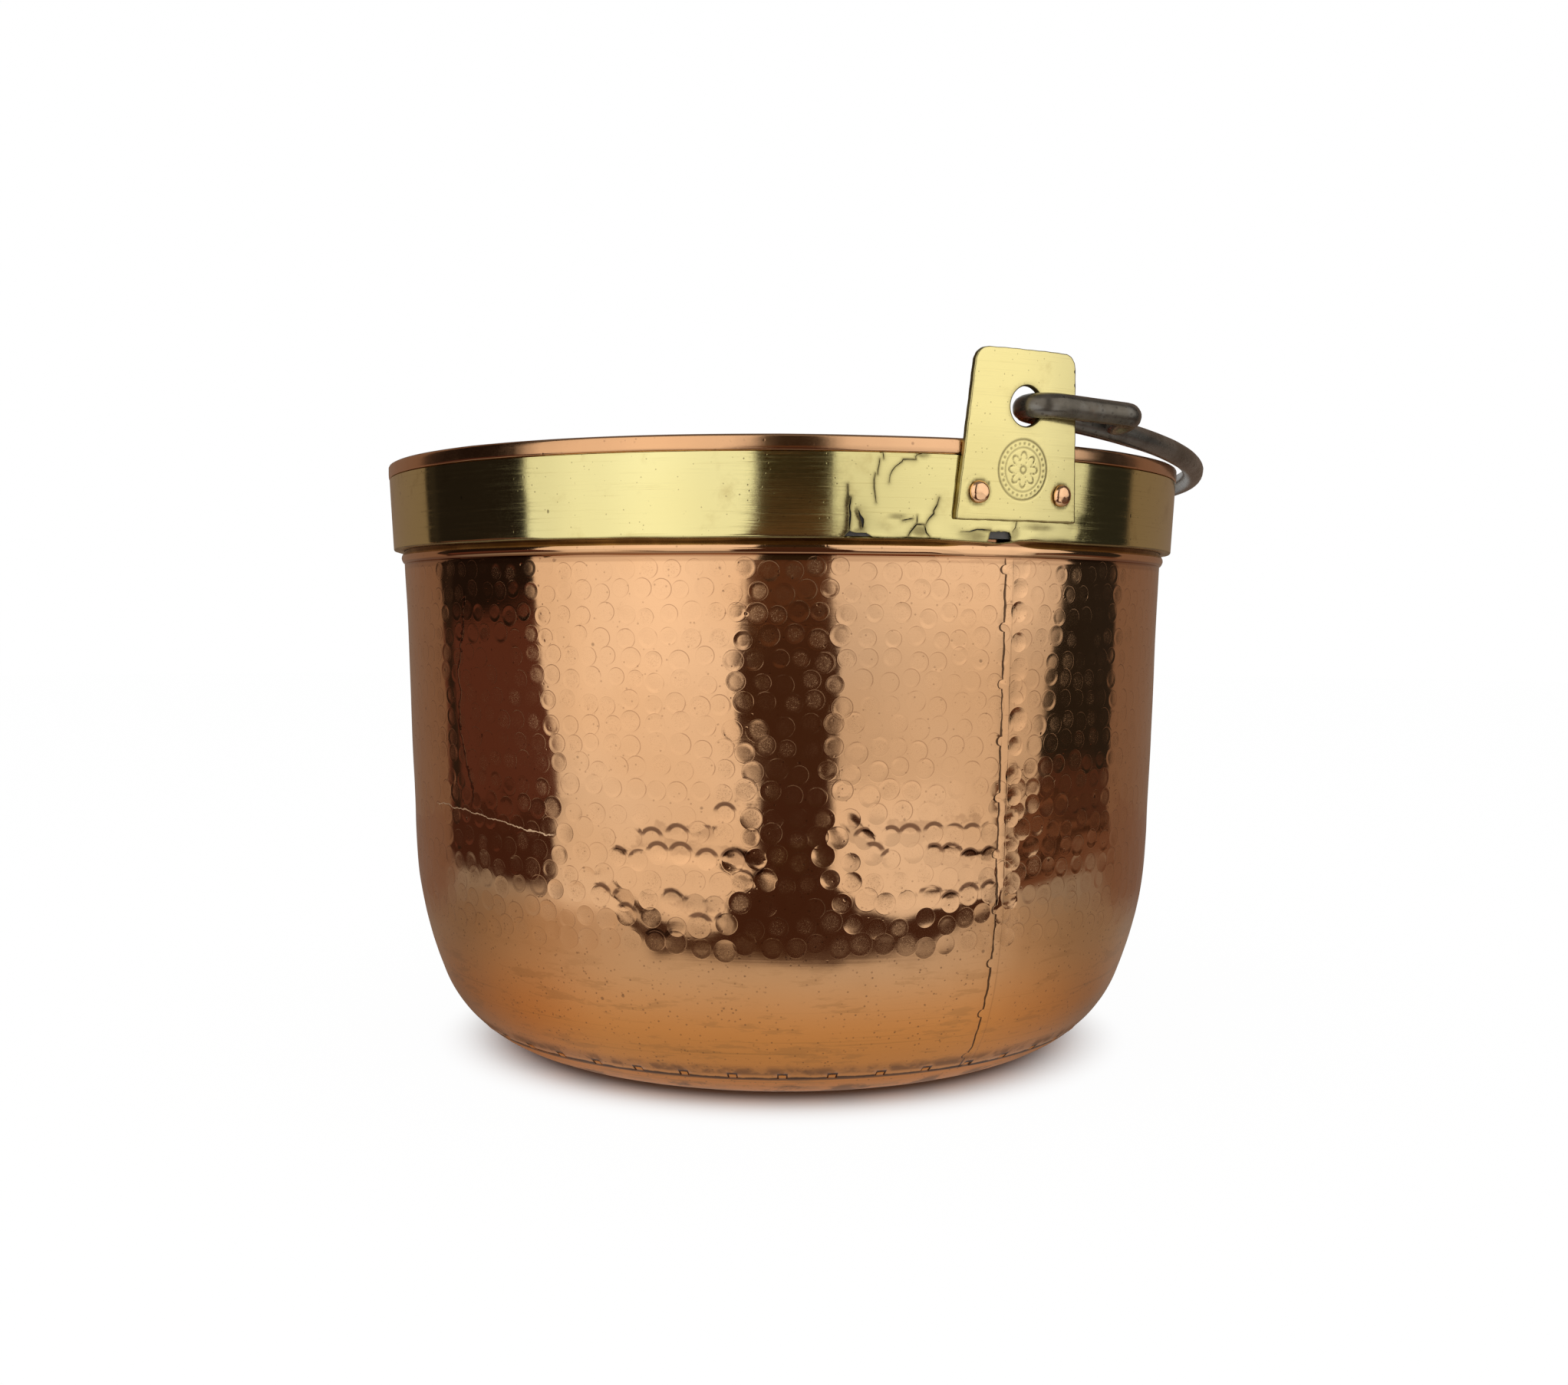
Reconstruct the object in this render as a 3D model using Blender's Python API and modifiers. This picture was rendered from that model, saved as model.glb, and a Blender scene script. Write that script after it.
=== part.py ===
"""Hammered copper cauldron: brass-clad iron hoop at the mouth, two riveted ears, and a swinging iron bail.

Metres, +Z up. The origin is the centre of the flat base, which stands on the floor. The bail's hinge
axis runs along Y, the front ear is at -Y, and at rest the bail leans back on the lip on the +X side.
"""

import math

import bmesh
import bpy
from mathutils import Matrix, Vector

# Sheets, bars and the clearance between pieces that touch
COPPER = 0.0015
BRASS_SHEET = 0.0008
HOOP_BAR = 0.0040
EAR_PLATE = 0.0025
GAP = 0.0003

# Vessel
MOUTH_RADIUS = 0.2100
RIM_HEIGHT = 0.3030
BASE_FLAT_RADIUS = 0.1245
HEEL_RADIUS = 0.0625
HEEL_TURN = math.radians(69)
BELLY_RADIUS = 0.210

# Copper lip, folded down over the hoop, and the brass-clad band below it
LIP_DROP = 0.0070
LIP_ROUND = 0.0012
LIP_PROUD = 0.0005
BAND_HEIGHT = 0.0370
BAND_FLARE = 0.056
BAND_CORNER = 0.0008
BAND_SLIT = 0.0005
TUCK_BELOW_LIP = 0.0006
TUCK_RISE = 0.0004
TUCK_SHARE = 0.75

# Bead swaged into the wall just under the band
BEAD_HEIGHT = 0.0065
BEAD_PROUD = 0.0016
BEAD_BELOW_BAND = 0.0005

# Castellated seam between the side wall and the bottom pan
SEAM_HEIGHT = 0.0150
SEAM_LAP = 0.0070
JOGGLE_LENGTH = 0.0030
TOOTH_COUNT = 46
TOOTH_WIDTH = 0.0040
TOOTH_LENGTH = 0.0035
TOOTH_SUNK = 0.0001

# Ears
EAR_BOTTOM_WIDTH = 0.0660
EAR_TOP_WIDTH = 0.0540
EAR_BOTTOM = 0.0353
EAR_TOP = 0.0390
EAR_TOP_ROUND = 0.0070
EAR_BOTTOM_ROUND = 0.0010
EAR_HOLE_RADIUS = 0.0085
EAR_HOLE_RISE = 0.0145

# Rivets
RIVET_SPREAD = 0.0450
RIVET_BELOW_RIM = 0.0232
RIVET_SHANK_RADIUS = 0.0016
RIVET_HEAD_RADIUS = 0.0050
RIVET_HEAD_FLAT = 0.0033
RIVET_HEAD_HEIGHT = 0.0030
RIVET_TAIL_RADIUS = 0.0046
RIVET_TAIL_HEIGHT = 0.0018

# Bail
ROD_RADIUS = 0.0055
BAIL_OVERHANG = 0.0105
BAIL_FULLNESS = 2.13
EYE_WIDTH = 0.0200
EYE_LENGTH = 0.0525
EYE_CLOSING_RADIUS = 0.0078
HINGE_ASIDE = 0.0023
HINGE_RISE = 0.0004

# Facets
RING_STEPS = 2 * TOOTH_COUNT
EAR_RING_STEPS = 2 * RING_STEPS
RIVET_STEPS = 12
HOLE_STEPS = 24

# Heights and centres that follow from the sizes above
LIP_EDGE = RIM_HEIGHT - LIP_DROP
BAND_BOTTOM = LIP_EDGE - BAND_HEIGHT
BEAD_TOP = BAND_BOTTOM - BEAD_BELOW_BAND
NECK_HEIGHT = BEAD_TOP - BEAD_HEIGHT
HOLE_HEIGHT = RIM_HEIGHT + EAR_HOLE_RISE
RIVET_HEIGHT = RIM_HEIGHT - RIVET_BELOW_RIM
BAIL_REACH = MOUTH_RADIUS + BAIL_OVERHANG
HINGE = Vector((HINGE_ASIDE, 0, HOLE_HEIGHT + HINGE_RISE))
FRONT = math.radians(-90)


# Vessel geometry in its radial plane, as (radius, height) pairs

def direction(turn):
    """The skin's outward normal after it has turned up this far from straight down."""
    return math.sin(turn), -math.cos(turn)


def along(point, way, distance):
    return point[0] + way[0] * distance, point[1] + way[1] * distance


def steps(start, end, count):
    """Evenly spaced values from start to end, both included."""
    return [start + (end - start) * i / count for i in range(count + 1)]


HEEL_CENTRE = (BASE_FLAT_RADIUS, HEEL_RADIUS)
BELLY_CENTRE = along(HEEL_CENTRE, direction(HEEL_TURN), HEEL_RADIUS - BELLY_RADIUS)


def brass_radius(height):
    """Outer face of the flared brass band."""
    return MOUTH_RADIUS - LIP_PROUD - BAND_FLARE * (LIP_EDGE - height)


def hoop_radius(height):
    return brass_radius(height) - BRASS_SHEET - GAP


def wall_radius(height):
    """Outer face of the copper wall behind the hoop."""
    return hoop_radius(height) - HOOP_BAR - GAP


def side_turn():
    """Where the belly's arc runs into the straight side, which ends at the neck under the bead."""
    run = wall_radius(BAND_BOTTOM) - BELLY_CENTRE[0]
    rise = NECK_HEIGHT - BELLY_CENTRE[1]
    reach = math.hypot(run, rise)
    return math.pi / 2 + math.atan2(rise, run) - math.acos(BELLY_RADIUS / reach)


def seam_turn():
    return math.acos(1 - SEAM_HEIGHT / HEEL_RADIUS)


def lap_turn():
    """Where the pan's joggled rim ends behind the wall."""
    return seam_turn() + SEAM_LAP / HEEL_RADIUS


def skin_point(turn, inset):
    """A point of the vessel's lower skin, this far inside its outer face."""
    centre, radius = HEEL_CENTRE, HEEL_RADIUS
    if turn > HEEL_TURN:
        centre, radius = BELLY_CENTRE, BELLY_RADIUS
    return along(centre, direction(turn), radius - inset)


def bead_points(inset, count):
    """The swaged bead from top to bottom; the sheet keeps its thickness through it."""
    points = []
    for share in steps(0, 1, count):
        height = BEAD_TOP - BEAD_HEIGHT * share
        bulge = BEAD_PROUD * math.sin(math.pi * share)
        points.append((wall_radius(BAND_BOTTOM) + bulge - inset, height))
    return points


def band_line(depth, top):
    """One layer of the band, from its top edge down: it tucks in under the lip, then flares with the wall."""
    tucked = MOUTH_RADIUS - COPPER - GAP - depth
    shoulder = LIP_EDGE - TUCK_BELOW_LIP - TUCK_SHARE * depth
    return [
        (tucked, top),
        (tucked, shoulder + TUCK_RISE),
        (brass_radius(shoulder) - depth, shoulder),
    ]


# Collections, meshes and modifiers

def clear_scene():
    for obj in list(bpy.data.objects):
        bpy.data.objects.remove(obj, do_unlink=True)


def collection(name):
    made = bpy.data.collections.new(name)
    bpy.context.scene.collection.children.link(made)
    return made


def metal(name, colour, roughness):
    material = bpy.data.materials.new(name)
    material.use_nodes = True
    shader = material.node_tree.nodes["Principled BSDF"]
    shader.inputs["Base Color"].default_value = (*colour, 1)
    shader.inputs["Metallic"].default_value = 1
    shader.inputs["Roughness"].default_value = roughness
    return material


def turned(name, profile, where, ring_steps):
    """A closed (radius, height) outline, drawn down its outer side, turned round Z."""
    mesh = bpy.data.meshes.new(name)
    count = len(profile)
    on_axis = profile[0][0] == 0
    edges = [(i, i + 1) for i in range(count - 1)]
    if not on_axis:
        edges.append((count - 1, 0))
    mesh.from_pydata([(radius, 0, height) for radius, height in profile], edges, [])
    obj = bpy.data.objects.new(name, mesh)
    where.objects.link(obj)
    screw = obj.modifiers.new("turn", "SCREW")
    screw.steps = ring_steps
    screw.render_steps = ring_steps
    screw.use_merge_vertices = True
    screw.merge_threshold = 0.00001
    return obj


def boolean(obj, cutter, operation):
    modifier = obj.modifiers.new(cutter.name, "BOOLEAN")
    modifier.operation = operation
    modifier.object = cutter
    modifier.solver = "EXACT"


def as_cutter(obj):
    obj.hide_render = True
    obj.display_type = "WIRE"
    return obj


def mesh_object(name, shape, where):
    """An object from a bmesh, which is freed."""
    mesh = bpy.data.meshes.new(name)
    shape.to_mesh(mesh)
    shape.free()
    obj = bpy.data.objects.new(name, mesh)
    where.objects.link(obj)
    return obj


def curve_to_mesh(obj, where):
    """A curve object replaced by a closed mesh of the same name and place."""
    graph = bpy.context.evaluated_depsgraph_get()
    mesh = bpy.data.meshes.new_from_object(obj.evaluated_get(graph))
    shape = bmesh.new()
    shape.from_mesh(mesh)
    bmesh.ops.remove_doubles(shape, verts=shape.verts, dist=0.00001)
    shape.to_mesh(mesh)
    shape.free()
    name, place = obj.name, obj.matrix_world.copy()
    bpy.data.objects.remove(obj, do_unlink=True)
    made = bpy.data.objects.new(name, mesh)
    made.matrix_world = place
    where.objects.link(made)
    return made


def settle(obj, material):
    """Fix the modifiers' result as the mesh, shade it smooth up to its real edges, and give it its metal."""
    graph = bpy.context.evaluated_depsgraph_get()
    mesh = bpy.data.meshes.new_from_object(obj.evaluated_get(graph))
    obj.modifiers.clear()
    obj.data = mesh
    mesh.materials.clear()
    mesh.materials.append(material)
    mesh.shade_smooth()
    mesh.set_sharp_from_angle(angle=math.radians(32))
    return obj


# Castellated seam

def seam_blocks(name, width, root, tip, outer, inner, where):
    """One block at each tooth: across the seam, from root to tip along the skin, from outer to inner."""
    middle = seam_turn() + TOOTH_LENGTH / 2 / HEEL_RADIUS
    radius, height = skin_point(middle, 0)
    facet = 2 * math.pi / RING_STEPS
    centre_line = Vector((radius * math.cos(facet / 2), 0, height))
    outward, down = direction(middle)
    upward = Vector((-down, 0, outward))
    normal = Vector((outward, 0, down))
    centre = centre_line + upward * (tip + root) / 2 - normal * (outer + inner) / 2
    block = Matrix.LocRotScale(centre, None, None)
    block @= Matrix((normal, (0, 1, 0), upward)).transposed().to_4x4()
    block @= Matrix.Diagonal((inner - outer, width, tip - root, 1))
    shape = bmesh.new()
    for tooth in range(TOOTH_COUNT):
        around = Matrix.Rotation((2 * tooth + 1.5) * facet, 4, "Z")
        bmesh.ops.create_cube(shape, size=1, matrix=around @ block)
    return mesh_object(name, shape, where)


def make_side_wall(parts, cutters, material, rivet_holes):
    """Tapered wall with the folded lip above and the notched edge of the seam below."""
    edge = seam_turn() + GAP / HEEL_RADIUS
    belly = steps(side_turn(), HEEL_TURN, 3)
    heel = steps(HEEL_TURN, lap_turn(), 2)[1:] + [edge]
    fold = RIM_HEIGHT - COPPER
    lip = [
        (wall_radius(fold) - COPPER + LIP_ROUND, RIM_HEIGHT),
        (MOUTH_RADIUS - LIP_ROUND, RIM_HEIGHT),
        (MOUTH_RADIUS, RIM_HEIGHT - LIP_ROUND),
        (MOUTH_RADIUS, LIP_EDGE),
        (MOUTH_RADIUS - COPPER, LIP_EDGE),
        (MOUTH_RADIUS - COPPER, fold),
        (wall_radius(fold), fold),
    ]
    outer = lip + bead_points(0, 3) + [skin_point(turn, 0) for turn in belly + heel]
    inner = [skin_point(turn, COPPER) for turn in reversed(belly + heel)]
    inner += reversed(bead_points(COPPER, 2))
    inner.append((wall_radius(fold) - COPPER, fold))
    obj = turned("side_wall", outer + inner, parts, RING_STEPS)
    middle = TOOTH_LENGTH / 2
    notches = seam_blocks(
        "seam_notches", TOOTH_WIDTH + 2 * GAP, -2 * middle, middle + GAP, -COPPER, 2 * COPPER, cutters
    )
    boolean(obj, as_cutter(notches), "DIFFERENCE")
    for hole in rivet_holes:
        boolean(obj, hole, "DIFFERENCE")
    return settle(obj, material)


def make_bottom_pan(parts, cutters, material):
    """Shallow pan whose rim is joggled in to lie inside the wall, with teeth that fill the wall's notches."""
    seam = seam_turn()
    behind_wall = COPPER + GAP
    rim = lap_turn()
    before = seam - JOGGLE_LENGTH / HEEL_RADIUS
    inner_up = [skin_point(turn, COPPER) for turn in steps(0, before, 2)]
    lap = [
        skin_point(seam, behind_wall + COPPER),
        skin_point(rim, behind_wall + COPPER),
        skin_point(rim, behind_wall),
        skin_point(seam, behind_wall),
    ]
    outer_down = [skin_point(turn, 0) for turn in reversed(steps(0, seam, 3))]
    outline = [(0, COPPER)] + inner_up + lap + outer_down + [(0, 0)]
    obj = turned("bottom_pan", outline, parts, RING_STEPS)
    middle = TOOTH_LENGTH / 2
    teeth = seam_blocks(
        "seam_teeth", TOOTH_WIDTH, -middle - TOOTH_WIDTH / 4, middle, TOOTH_SUNK, behind_wall + COPPER / 2, cutters
    )
    boolean(obj, as_cutter(teeth), "UNION")
    return settle(obj, material)


def make_iron_hoop(parts, material, rivet_holes):
    """Closed bar ring under the brass, rebated at the top so that the brass can tuck in under the lip."""
    top = RIM_HEIGHT - COPPER - GAP
    bottom = BAND_BOTTOM + BRASS_SHEET + GAP
    outer = band_line(BRASS_SHEET + GAP, top) + [(hoop_radius(bottom), bottom)]
    inner = [(wall_radius(bottom) + GAP, bottom), (wall_radius(top) + GAP, top)]
    obj = turned("iron_hoop", outer + inner, parts, RING_STEPS)
    for hole in rivet_holes:
        boolean(obj, hole, "DIFFERENCE")
    return settle(obj, material)


def make_brass_band(parts, cutters, material, rivet_holes):
    """Thin strip bent round the hoop: tucked in at the lip, turned under at the bottom, ends meeting at the ear."""
    top = RIM_HEIGHT - COPPER - 2 * GAP
    flange = wall_radius(BAND_BOTTOM) + GAP
    flange_top = BAND_BOTTOM + BRASS_SHEET
    outer = band_line(0, top) + [
        (brass_radius(BAND_BOTTOM + BAND_CORNER), BAND_BOTTOM + BAND_CORNER),
        (brass_radius(BAND_BOTTOM) - BAND_CORNER, BAND_BOTTOM),
        (flange, BAND_BOTTOM),
    ]
    inner = [(flange, flange_top), (brass_radius(flange_top) - BRASS_SHEET, flange_top)]
    inner += reversed(band_line(BRASS_SHEET, top))
    obj = turned("brass_band", outer + inner, parts, RING_STEPS)
    shape = bmesh.new()
    size = Matrix.Diagonal((BAND_SLIT, MOUTH_RADIUS / 4, 2 * BAND_HEIGHT, 1))
    place = Matrix.Translation((0, -MOUTH_RADIUS, BAND_BOTTOM + BAND_HEIGHT / 2))
    bmesh.ops.create_cube(shape, size=1, matrix=place @ size)
    slit = mesh_object("band_slit", shape, cutters)
    boolean(obj, as_cutter(slit), "DIFFERENCE")
    for hole in rivet_holes:
        boolean(obj, hole, "DIFFERENCE")
    return settle(obj, material)


# Ears

EAR_LOW = RIM_HEIGHT - EAR_BOTTOM
EAR_HIGH = RIM_HEIGHT + EAR_TOP


def ear_lean():
    """How far the ear leans out for each unit of height: it bears on the brass below and on the lip above."""
    return (MOUTH_RADIUS - brass_radius(EAR_LOW)) / (LIP_EDGE - EAR_LOW)


def ear_radius(height):
    """Inner face of the ear."""
    return brass_radius(EAR_LOW) + GAP + ear_lean() * (height - EAR_LOW)


def rounded_corner(before, corner, after, radius, count):
    """Points of a fillet between two straight edges."""
    incoming = (Vector(corner) - Vector(before)).normalized()
    outgoing = (Vector(after) - Vector(corner)).normalized()
    half = incoming.angle(outgoing) / 2
    start = Vector(corner) - incoming * radius * math.tan(half)
    left = Vector((-incoming.y, incoming.x))
    centre = start + left * radius
    return [centre + Matrix.Rotation(2 * half * i / count, 2) @ (start - centre) for i in range(count + 1)]


def ear_outline():
    """The blank, drawn counter-clockwise: wider at the bottom, with large round corners at the top."""
    low, high = EAR_BOTTOM_WIDTH / 2, EAR_TOP_WIDTH / 2
    corners = [(-low, EAR_LOW), (low, EAR_LOW), (high, EAR_HIGH), (-high, EAR_HIGH)]
    rounds = [EAR_BOTTOM_ROUND, EAR_BOTTOM_ROUND, EAR_TOP_ROUND, EAR_TOP_ROUND]
    points = []
    for i, (corner, radius) in enumerate(zip(corners, rounds)):
        count = 6 if radius == EAR_TOP_ROUND else 2
        points += rounded_corner(corners[i - 1], corner, corners[(i + 1) % 4], radius, count)
    return points


def make_ear_blank(cutters):
    """The outline as a prism through the front of the rim."""
    curve = bpy.data.curves.new("ear_blank", "CURVE")
    curve.dimensions = "2D"
    curve.fill_mode = "BOTH"
    curve.extrude = MOUTH_RADIUS / 8
    outline = ear_outline()
    spline = curve.splines.new("POLY")
    spline.points.add(len(outline) - 1)
    for point, place in zip(spline.points, outline):
        point.co = (place.x, place.y, 0, 1)
    spline.use_cyclic_u = True
    obj = bpy.data.objects.new("ear_blank", curve)
    obj.matrix_world = Matrix.Translation((0, -MOUTH_RADIUS, 0)) @ Matrix.Rotation(math.radians(90), 4, "X")
    cutters.objects.link(obj)
    bpy.context.view_layer.update()
    return curve_to_mesh(obj, cutters)


def make_cylinder(name, radius, length, place, sides, where):
    shape = bmesh.new()
    bmesh.ops.create_cone(
        shape, cap_ends=True, segments=sides, radius1=radius, radius2=radius, depth=length, matrix=place
    )
    return mesh_object(name, shape, where)


def make_front_ear(parts, cutters, material, rivet_holes):
    """Plate rolled to the band's curve: a slice of a leaning ring, cut to the blank's outline and drilled."""
    low, high = EAR_LOW - EAR_PLATE, EAR_HIGH + EAR_PLATE
    outline = [
        (ear_radius(high) + EAR_PLATE, high),
        (ear_radius(low) + EAR_PLATE, low),
        (ear_radius(low), low),
        (ear_radius(high), high),
    ]
    obj = turned("ear_front", outline, parts, EAR_RING_STEPS)
    boolean(obj, as_cutter(make_ear_blank(cutters)), "INTERSECT")
    place = Matrix.Translation((0, -MOUTH_RADIUS, HOLE_HEIGHT)) @ Matrix.Rotation(math.radians(90), 4, "X")
    bore = make_cylinder("ear_bore", EAR_HOLE_RADIUS, MOUTH_RADIUS / 4, place, HOLE_STEPS, cutters)
    boolean(obj, as_cutter(bore), "DIFFERENCE")
    for hole in rivet_holes:
        boolean(obj, hole, "DIFFERENCE")
    return settle(obj, material)


def turned_about(obj, name, where):
    """The same piece on the other side of the mouth, sharing its mesh."""
    twin = bpy.data.objects.new(name, obj.data)
    twin.matrix_world = Matrix.Rotation(math.pi, 4, "Z") @ obj.matrix_world
    where.objects.link(twin)
    return twin


# Rivets

def rivet_place(side):
    """Frame of a front rivet: its Z runs out through the ear, square to the plate, from the ear's outer face."""
    radius = ear_radius(RIVET_HEIGHT) + EAR_PLATE
    azimuth = FRONT + side * math.asin(RIVET_SPREAD / 2 / radius)
    lean = math.atan(ear_lean())
    seat = Matrix.Rotation(azimuth, 4, "Z") @ Matrix.Translation((radius, 0, RIVET_HEIGHT))
    return seat @ Matrix.Rotation(math.radians(90) + lean, 4, "Y")


def rivet_grip():
    """From the ear's outer face through ear, brass, hoop and wall to the wall's inner face."""
    inner_face = (wall_radius(RIVET_HEIGHT) - COPPER) * math.cos(math.pi / RING_STEPS)
    return ear_radius(RIVET_HEIGHT) + EAR_PLATE - inner_face


def make_rivet_holes(cutters):
    """A drill through all four layers for each rivet, front and rear."""
    holes = []
    length = 4 * rivet_grip()
    for side, place in rivet_places():
        hole = make_cylinder("rivet_hole_" + side, RIVET_SHANK_RADIUS + GAP, length, place, RIVET_STEPS, cutters)
        holes.append(as_cutter(hole))
    return holes


def rivet_places():
    """Name and frame of each rivet, the rear pair half a turn round from the front pair."""
    half_turn = Matrix.Rotation(math.pi, 4, "Z")
    return [
        ("front_left", rivet_place(-1)),
        ("front_right", rivet_place(1)),
        ("rear_right", half_turn @ rivet_place(-1)),
        ("rear_left", half_turn @ rivet_place(1)),
    ]


def make_rivets(parts, material):
    """Hammered head outside, shank through the layers, low tail inside."""
    under_head = GAP
    under_tail = -rivet_grip() - GAP
    crown = under_head + RIVET_HEAD_HEIGHT
    outline = [
        (0, crown),
        (RIVET_HEAD_FLAT, crown - RIVET_HEAD_HEIGHT / 12),
        ((RIVET_HEAD_FLAT + RIVET_HEAD_RADIUS) / 2, crown - RIVET_HEAD_HEIGHT / 3),
        (RIVET_HEAD_RADIUS, under_head + RIVET_HEAD_HEIGHT / 6),
        (RIVET_HEAD_RADIUS, under_head),
        (RIVET_SHANK_RADIUS, under_head),
        (RIVET_SHANK_RADIUS, under_tail),
        (RIVET_TAIL_RADIUS, under_tail),
        (RIVET_TAIL_RADIUS / 2, under_tail - RIVET_TAIL_HEIGHT),
        (0, under_tail - RIVET_TAIL_HEIGHT),
    ]
    first = settle(turned("rivet", outline, parts, RIVET_STEPS), material)
    for side, place in rivet_places():
        rivet = bpy.data.objects.new("rivet_" + side, first.data)
        rivet.matrix_world = place
        parts.objects.link(rivet)
    bpy.data.objects.remove(first, do_unlink=True)


# Bail, drawn in its own plane as (reach, across) pairs: reach runs from the hinge axis to the crown

def bail_half_width():
    """Each eye's turn is centred in the plate of its ear, at the hole."""
    return ear_radius(HOLE_HEIGHT) + EAR_PLATE / 2 - EYE_WIDTH / 2


def shaft_across(reach):
    """Half width of the bail at this reach."""
    return bail_half_width() * (1 - (reach / BAIL_REACH) ** BAIL_FULLNESS) ** (1 / BAIL_FULLNESS)


def bail_arch(count):
    """Half of the arch, from just past the eye's turn to the crown."""
    first = math.asin((EYE_WIDTH / BAIL_REACH) ** (BAIL_FULLNESS / 2))
    points = []
    for angle in steps(first, math.pi / 2, count):
        reach = BAIL_REACH * math.sin(angle) ** (2 / BAIL_FULLNESS)
        across = bail_half_width() * max(math.cos(angle), 0) ** (2 / BAIL_FULLNESS)
        points.append((reach, across))
    return points


def arc(centre, radius, start, end, count):
    """Points of an arc; the angle is measured from the across direction towards the crown."""
    return [
        (centre[0] + radius * math.sin(angle), centre[1] + radius * math.cos(angle))
        for angle in steps(start, end, count)
    ]


def bail_eye():
    """One end of the rod: from the tip that closes on the shaft, out and down, and back through the ear."""
    leg = bail_half_width() + EYE_WIDTH
    tip = shaft_across(EYE_LENGTH) + ROD_RADIUS + 2 * GAP
    closing = (EYE_LENGTH - EYE_CLOSING_RADIUS, leg - EYE_CLOSING_RADIUS)
    turning = (EYE_WIDTH / 2, bail_half_width() + EYE_WIDTH / 2)
    half_turn = math.radians(180)
    return (
        [(EYE_LENGTH, tip)]
        + arc(closing, EYE_CLOSING_RADIUS, half_turn / 2, 0, 4)
        + arc(turning, EYE_WIDTH / 2, 0, -half_turn, 6)
    )


def lip_distance(radius, height):
    """How far a point lies from the rounded outer edge of the lip."""
    out = radius - (MOUTH_RADIUS - LIP_ROUND)
    up = height - (RIM_HEIGHT - LIP_ROUND)
    return math.hypot(max(out, 0), max(up, 0)) - LIP_ROUND


def resting_tilt(hinge_aside):
    """How far below level the bail drops before it bears on the lip, found by halving."""
    arch = bail_arch(60)
    low, high = 0.0, math.radians(20)
    for _ in range(40):
        tilt = (low + high) / 2
        nearest = min(
            lip_distance(math.hypot(hinge_aside + reach * math.cos(tilt), across), HINGE.z - reach * math.sin(tilt))
            for reach, across in arch
        )
        if nearest > ROD_RADIUS + GAP:
            low = tilt
        else:
            high = tilt
    return low


def make_bail(parts, material):
    """One forged rod, with its origin on the hinge axis."""
    half = bail_eye() + bail_arch(12)
    route = [(reach, -across) for reach, across in half] + list(reversed(half))[1:]
    curve = bpy.data.curves.new("bail", "CURVE")
    curve.dimensions = "3D"
    curve.bevel_depth = ROD_RADIUS
    curve.bevel_resolution = 3
    curve.use_fill_caps = True
    spline = curve.splines.new("POLY")
    spline.points.add(len(route) - 1)
    for point, (reach, across) in zip(spline.points, route):
        point.co = (reach, across, 0, 1)
    obj = bpy.data.objects.new("bail", curve)
    tilt = resting_tilt(HINGE_ASIDE)
    obj.matrix_world = Matrix.Translation(HINGE) @ Matrix.Rotation(tilt, 4, "Y")
    parts.objects.link(obj)
    bpy.context.view_layer.update()
    sweep = math.pi + tilt + resting_tilt(-HINGE_ASIDE)
    print(f"bail hinge at {tuple(round(value, 5) for value in HINGE)}, sweep {math.degrees(sweep):.2f} degrees")
    return settle(curve_to_mesh(obj, parts), material)


def main():
    clear_scene()
    parts = collection("copper_cauldron")
    cutters = collection("cutters")
    copper = metal("hammered_copper", (0.72, 0.36, 0.19), 0.26)
    brass = metal("polished_brass", (0.70, 0.56, 0.24), 0.22)
    hoop_iron = metal("hoop_iron", (0.10, 0.09, 0.08), 0.60)
    bail_iron = metal("forged_iron", (0.13, 0.11, 0.09), 0.50)
    rivet_copper = metal("rivet_copper", (0.62, 0.34, 0.24), 0.30)
    holes = make_rivet_holes(cutters)
    make_side_wall(parts, cutters, copper, holes)
    make_bottom_pan(parts, cutters, copper)
    make_iron_hoop(parts, hoop_iron, holes)
    make_brass_band(parts, cutters, brass, holes)
    front = make_front_ear(parts, cutters, brass, holes[:2])
    turned_about(front, "ear_rear", parts)
    make_rivets(parts, rivet_copper)
    make_bail(parts, bail_iron)


main()
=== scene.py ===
"""Looks of the copper cauldron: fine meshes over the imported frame, metal materials, stage and camera."""

import math

import bpy
import numpy as np
from mathutils import Matrix, Vector
from mathutils.geometry import delaunay_2d_cdt


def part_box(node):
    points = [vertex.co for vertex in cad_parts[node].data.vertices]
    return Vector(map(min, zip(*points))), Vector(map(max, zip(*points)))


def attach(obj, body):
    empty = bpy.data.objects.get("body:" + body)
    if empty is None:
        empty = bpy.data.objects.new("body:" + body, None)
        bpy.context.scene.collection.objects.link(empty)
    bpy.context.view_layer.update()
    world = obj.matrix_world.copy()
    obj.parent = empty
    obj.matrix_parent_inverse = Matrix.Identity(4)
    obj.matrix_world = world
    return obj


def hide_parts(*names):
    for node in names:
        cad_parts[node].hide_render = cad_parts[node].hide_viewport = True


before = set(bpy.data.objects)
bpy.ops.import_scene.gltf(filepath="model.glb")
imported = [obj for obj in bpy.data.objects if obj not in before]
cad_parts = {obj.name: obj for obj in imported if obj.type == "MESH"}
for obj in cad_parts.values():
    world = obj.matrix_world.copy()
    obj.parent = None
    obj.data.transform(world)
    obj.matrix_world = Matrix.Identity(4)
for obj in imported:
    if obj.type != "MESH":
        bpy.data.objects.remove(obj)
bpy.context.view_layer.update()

TAU = 2 * math.pi
MM = 0.001

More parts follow.
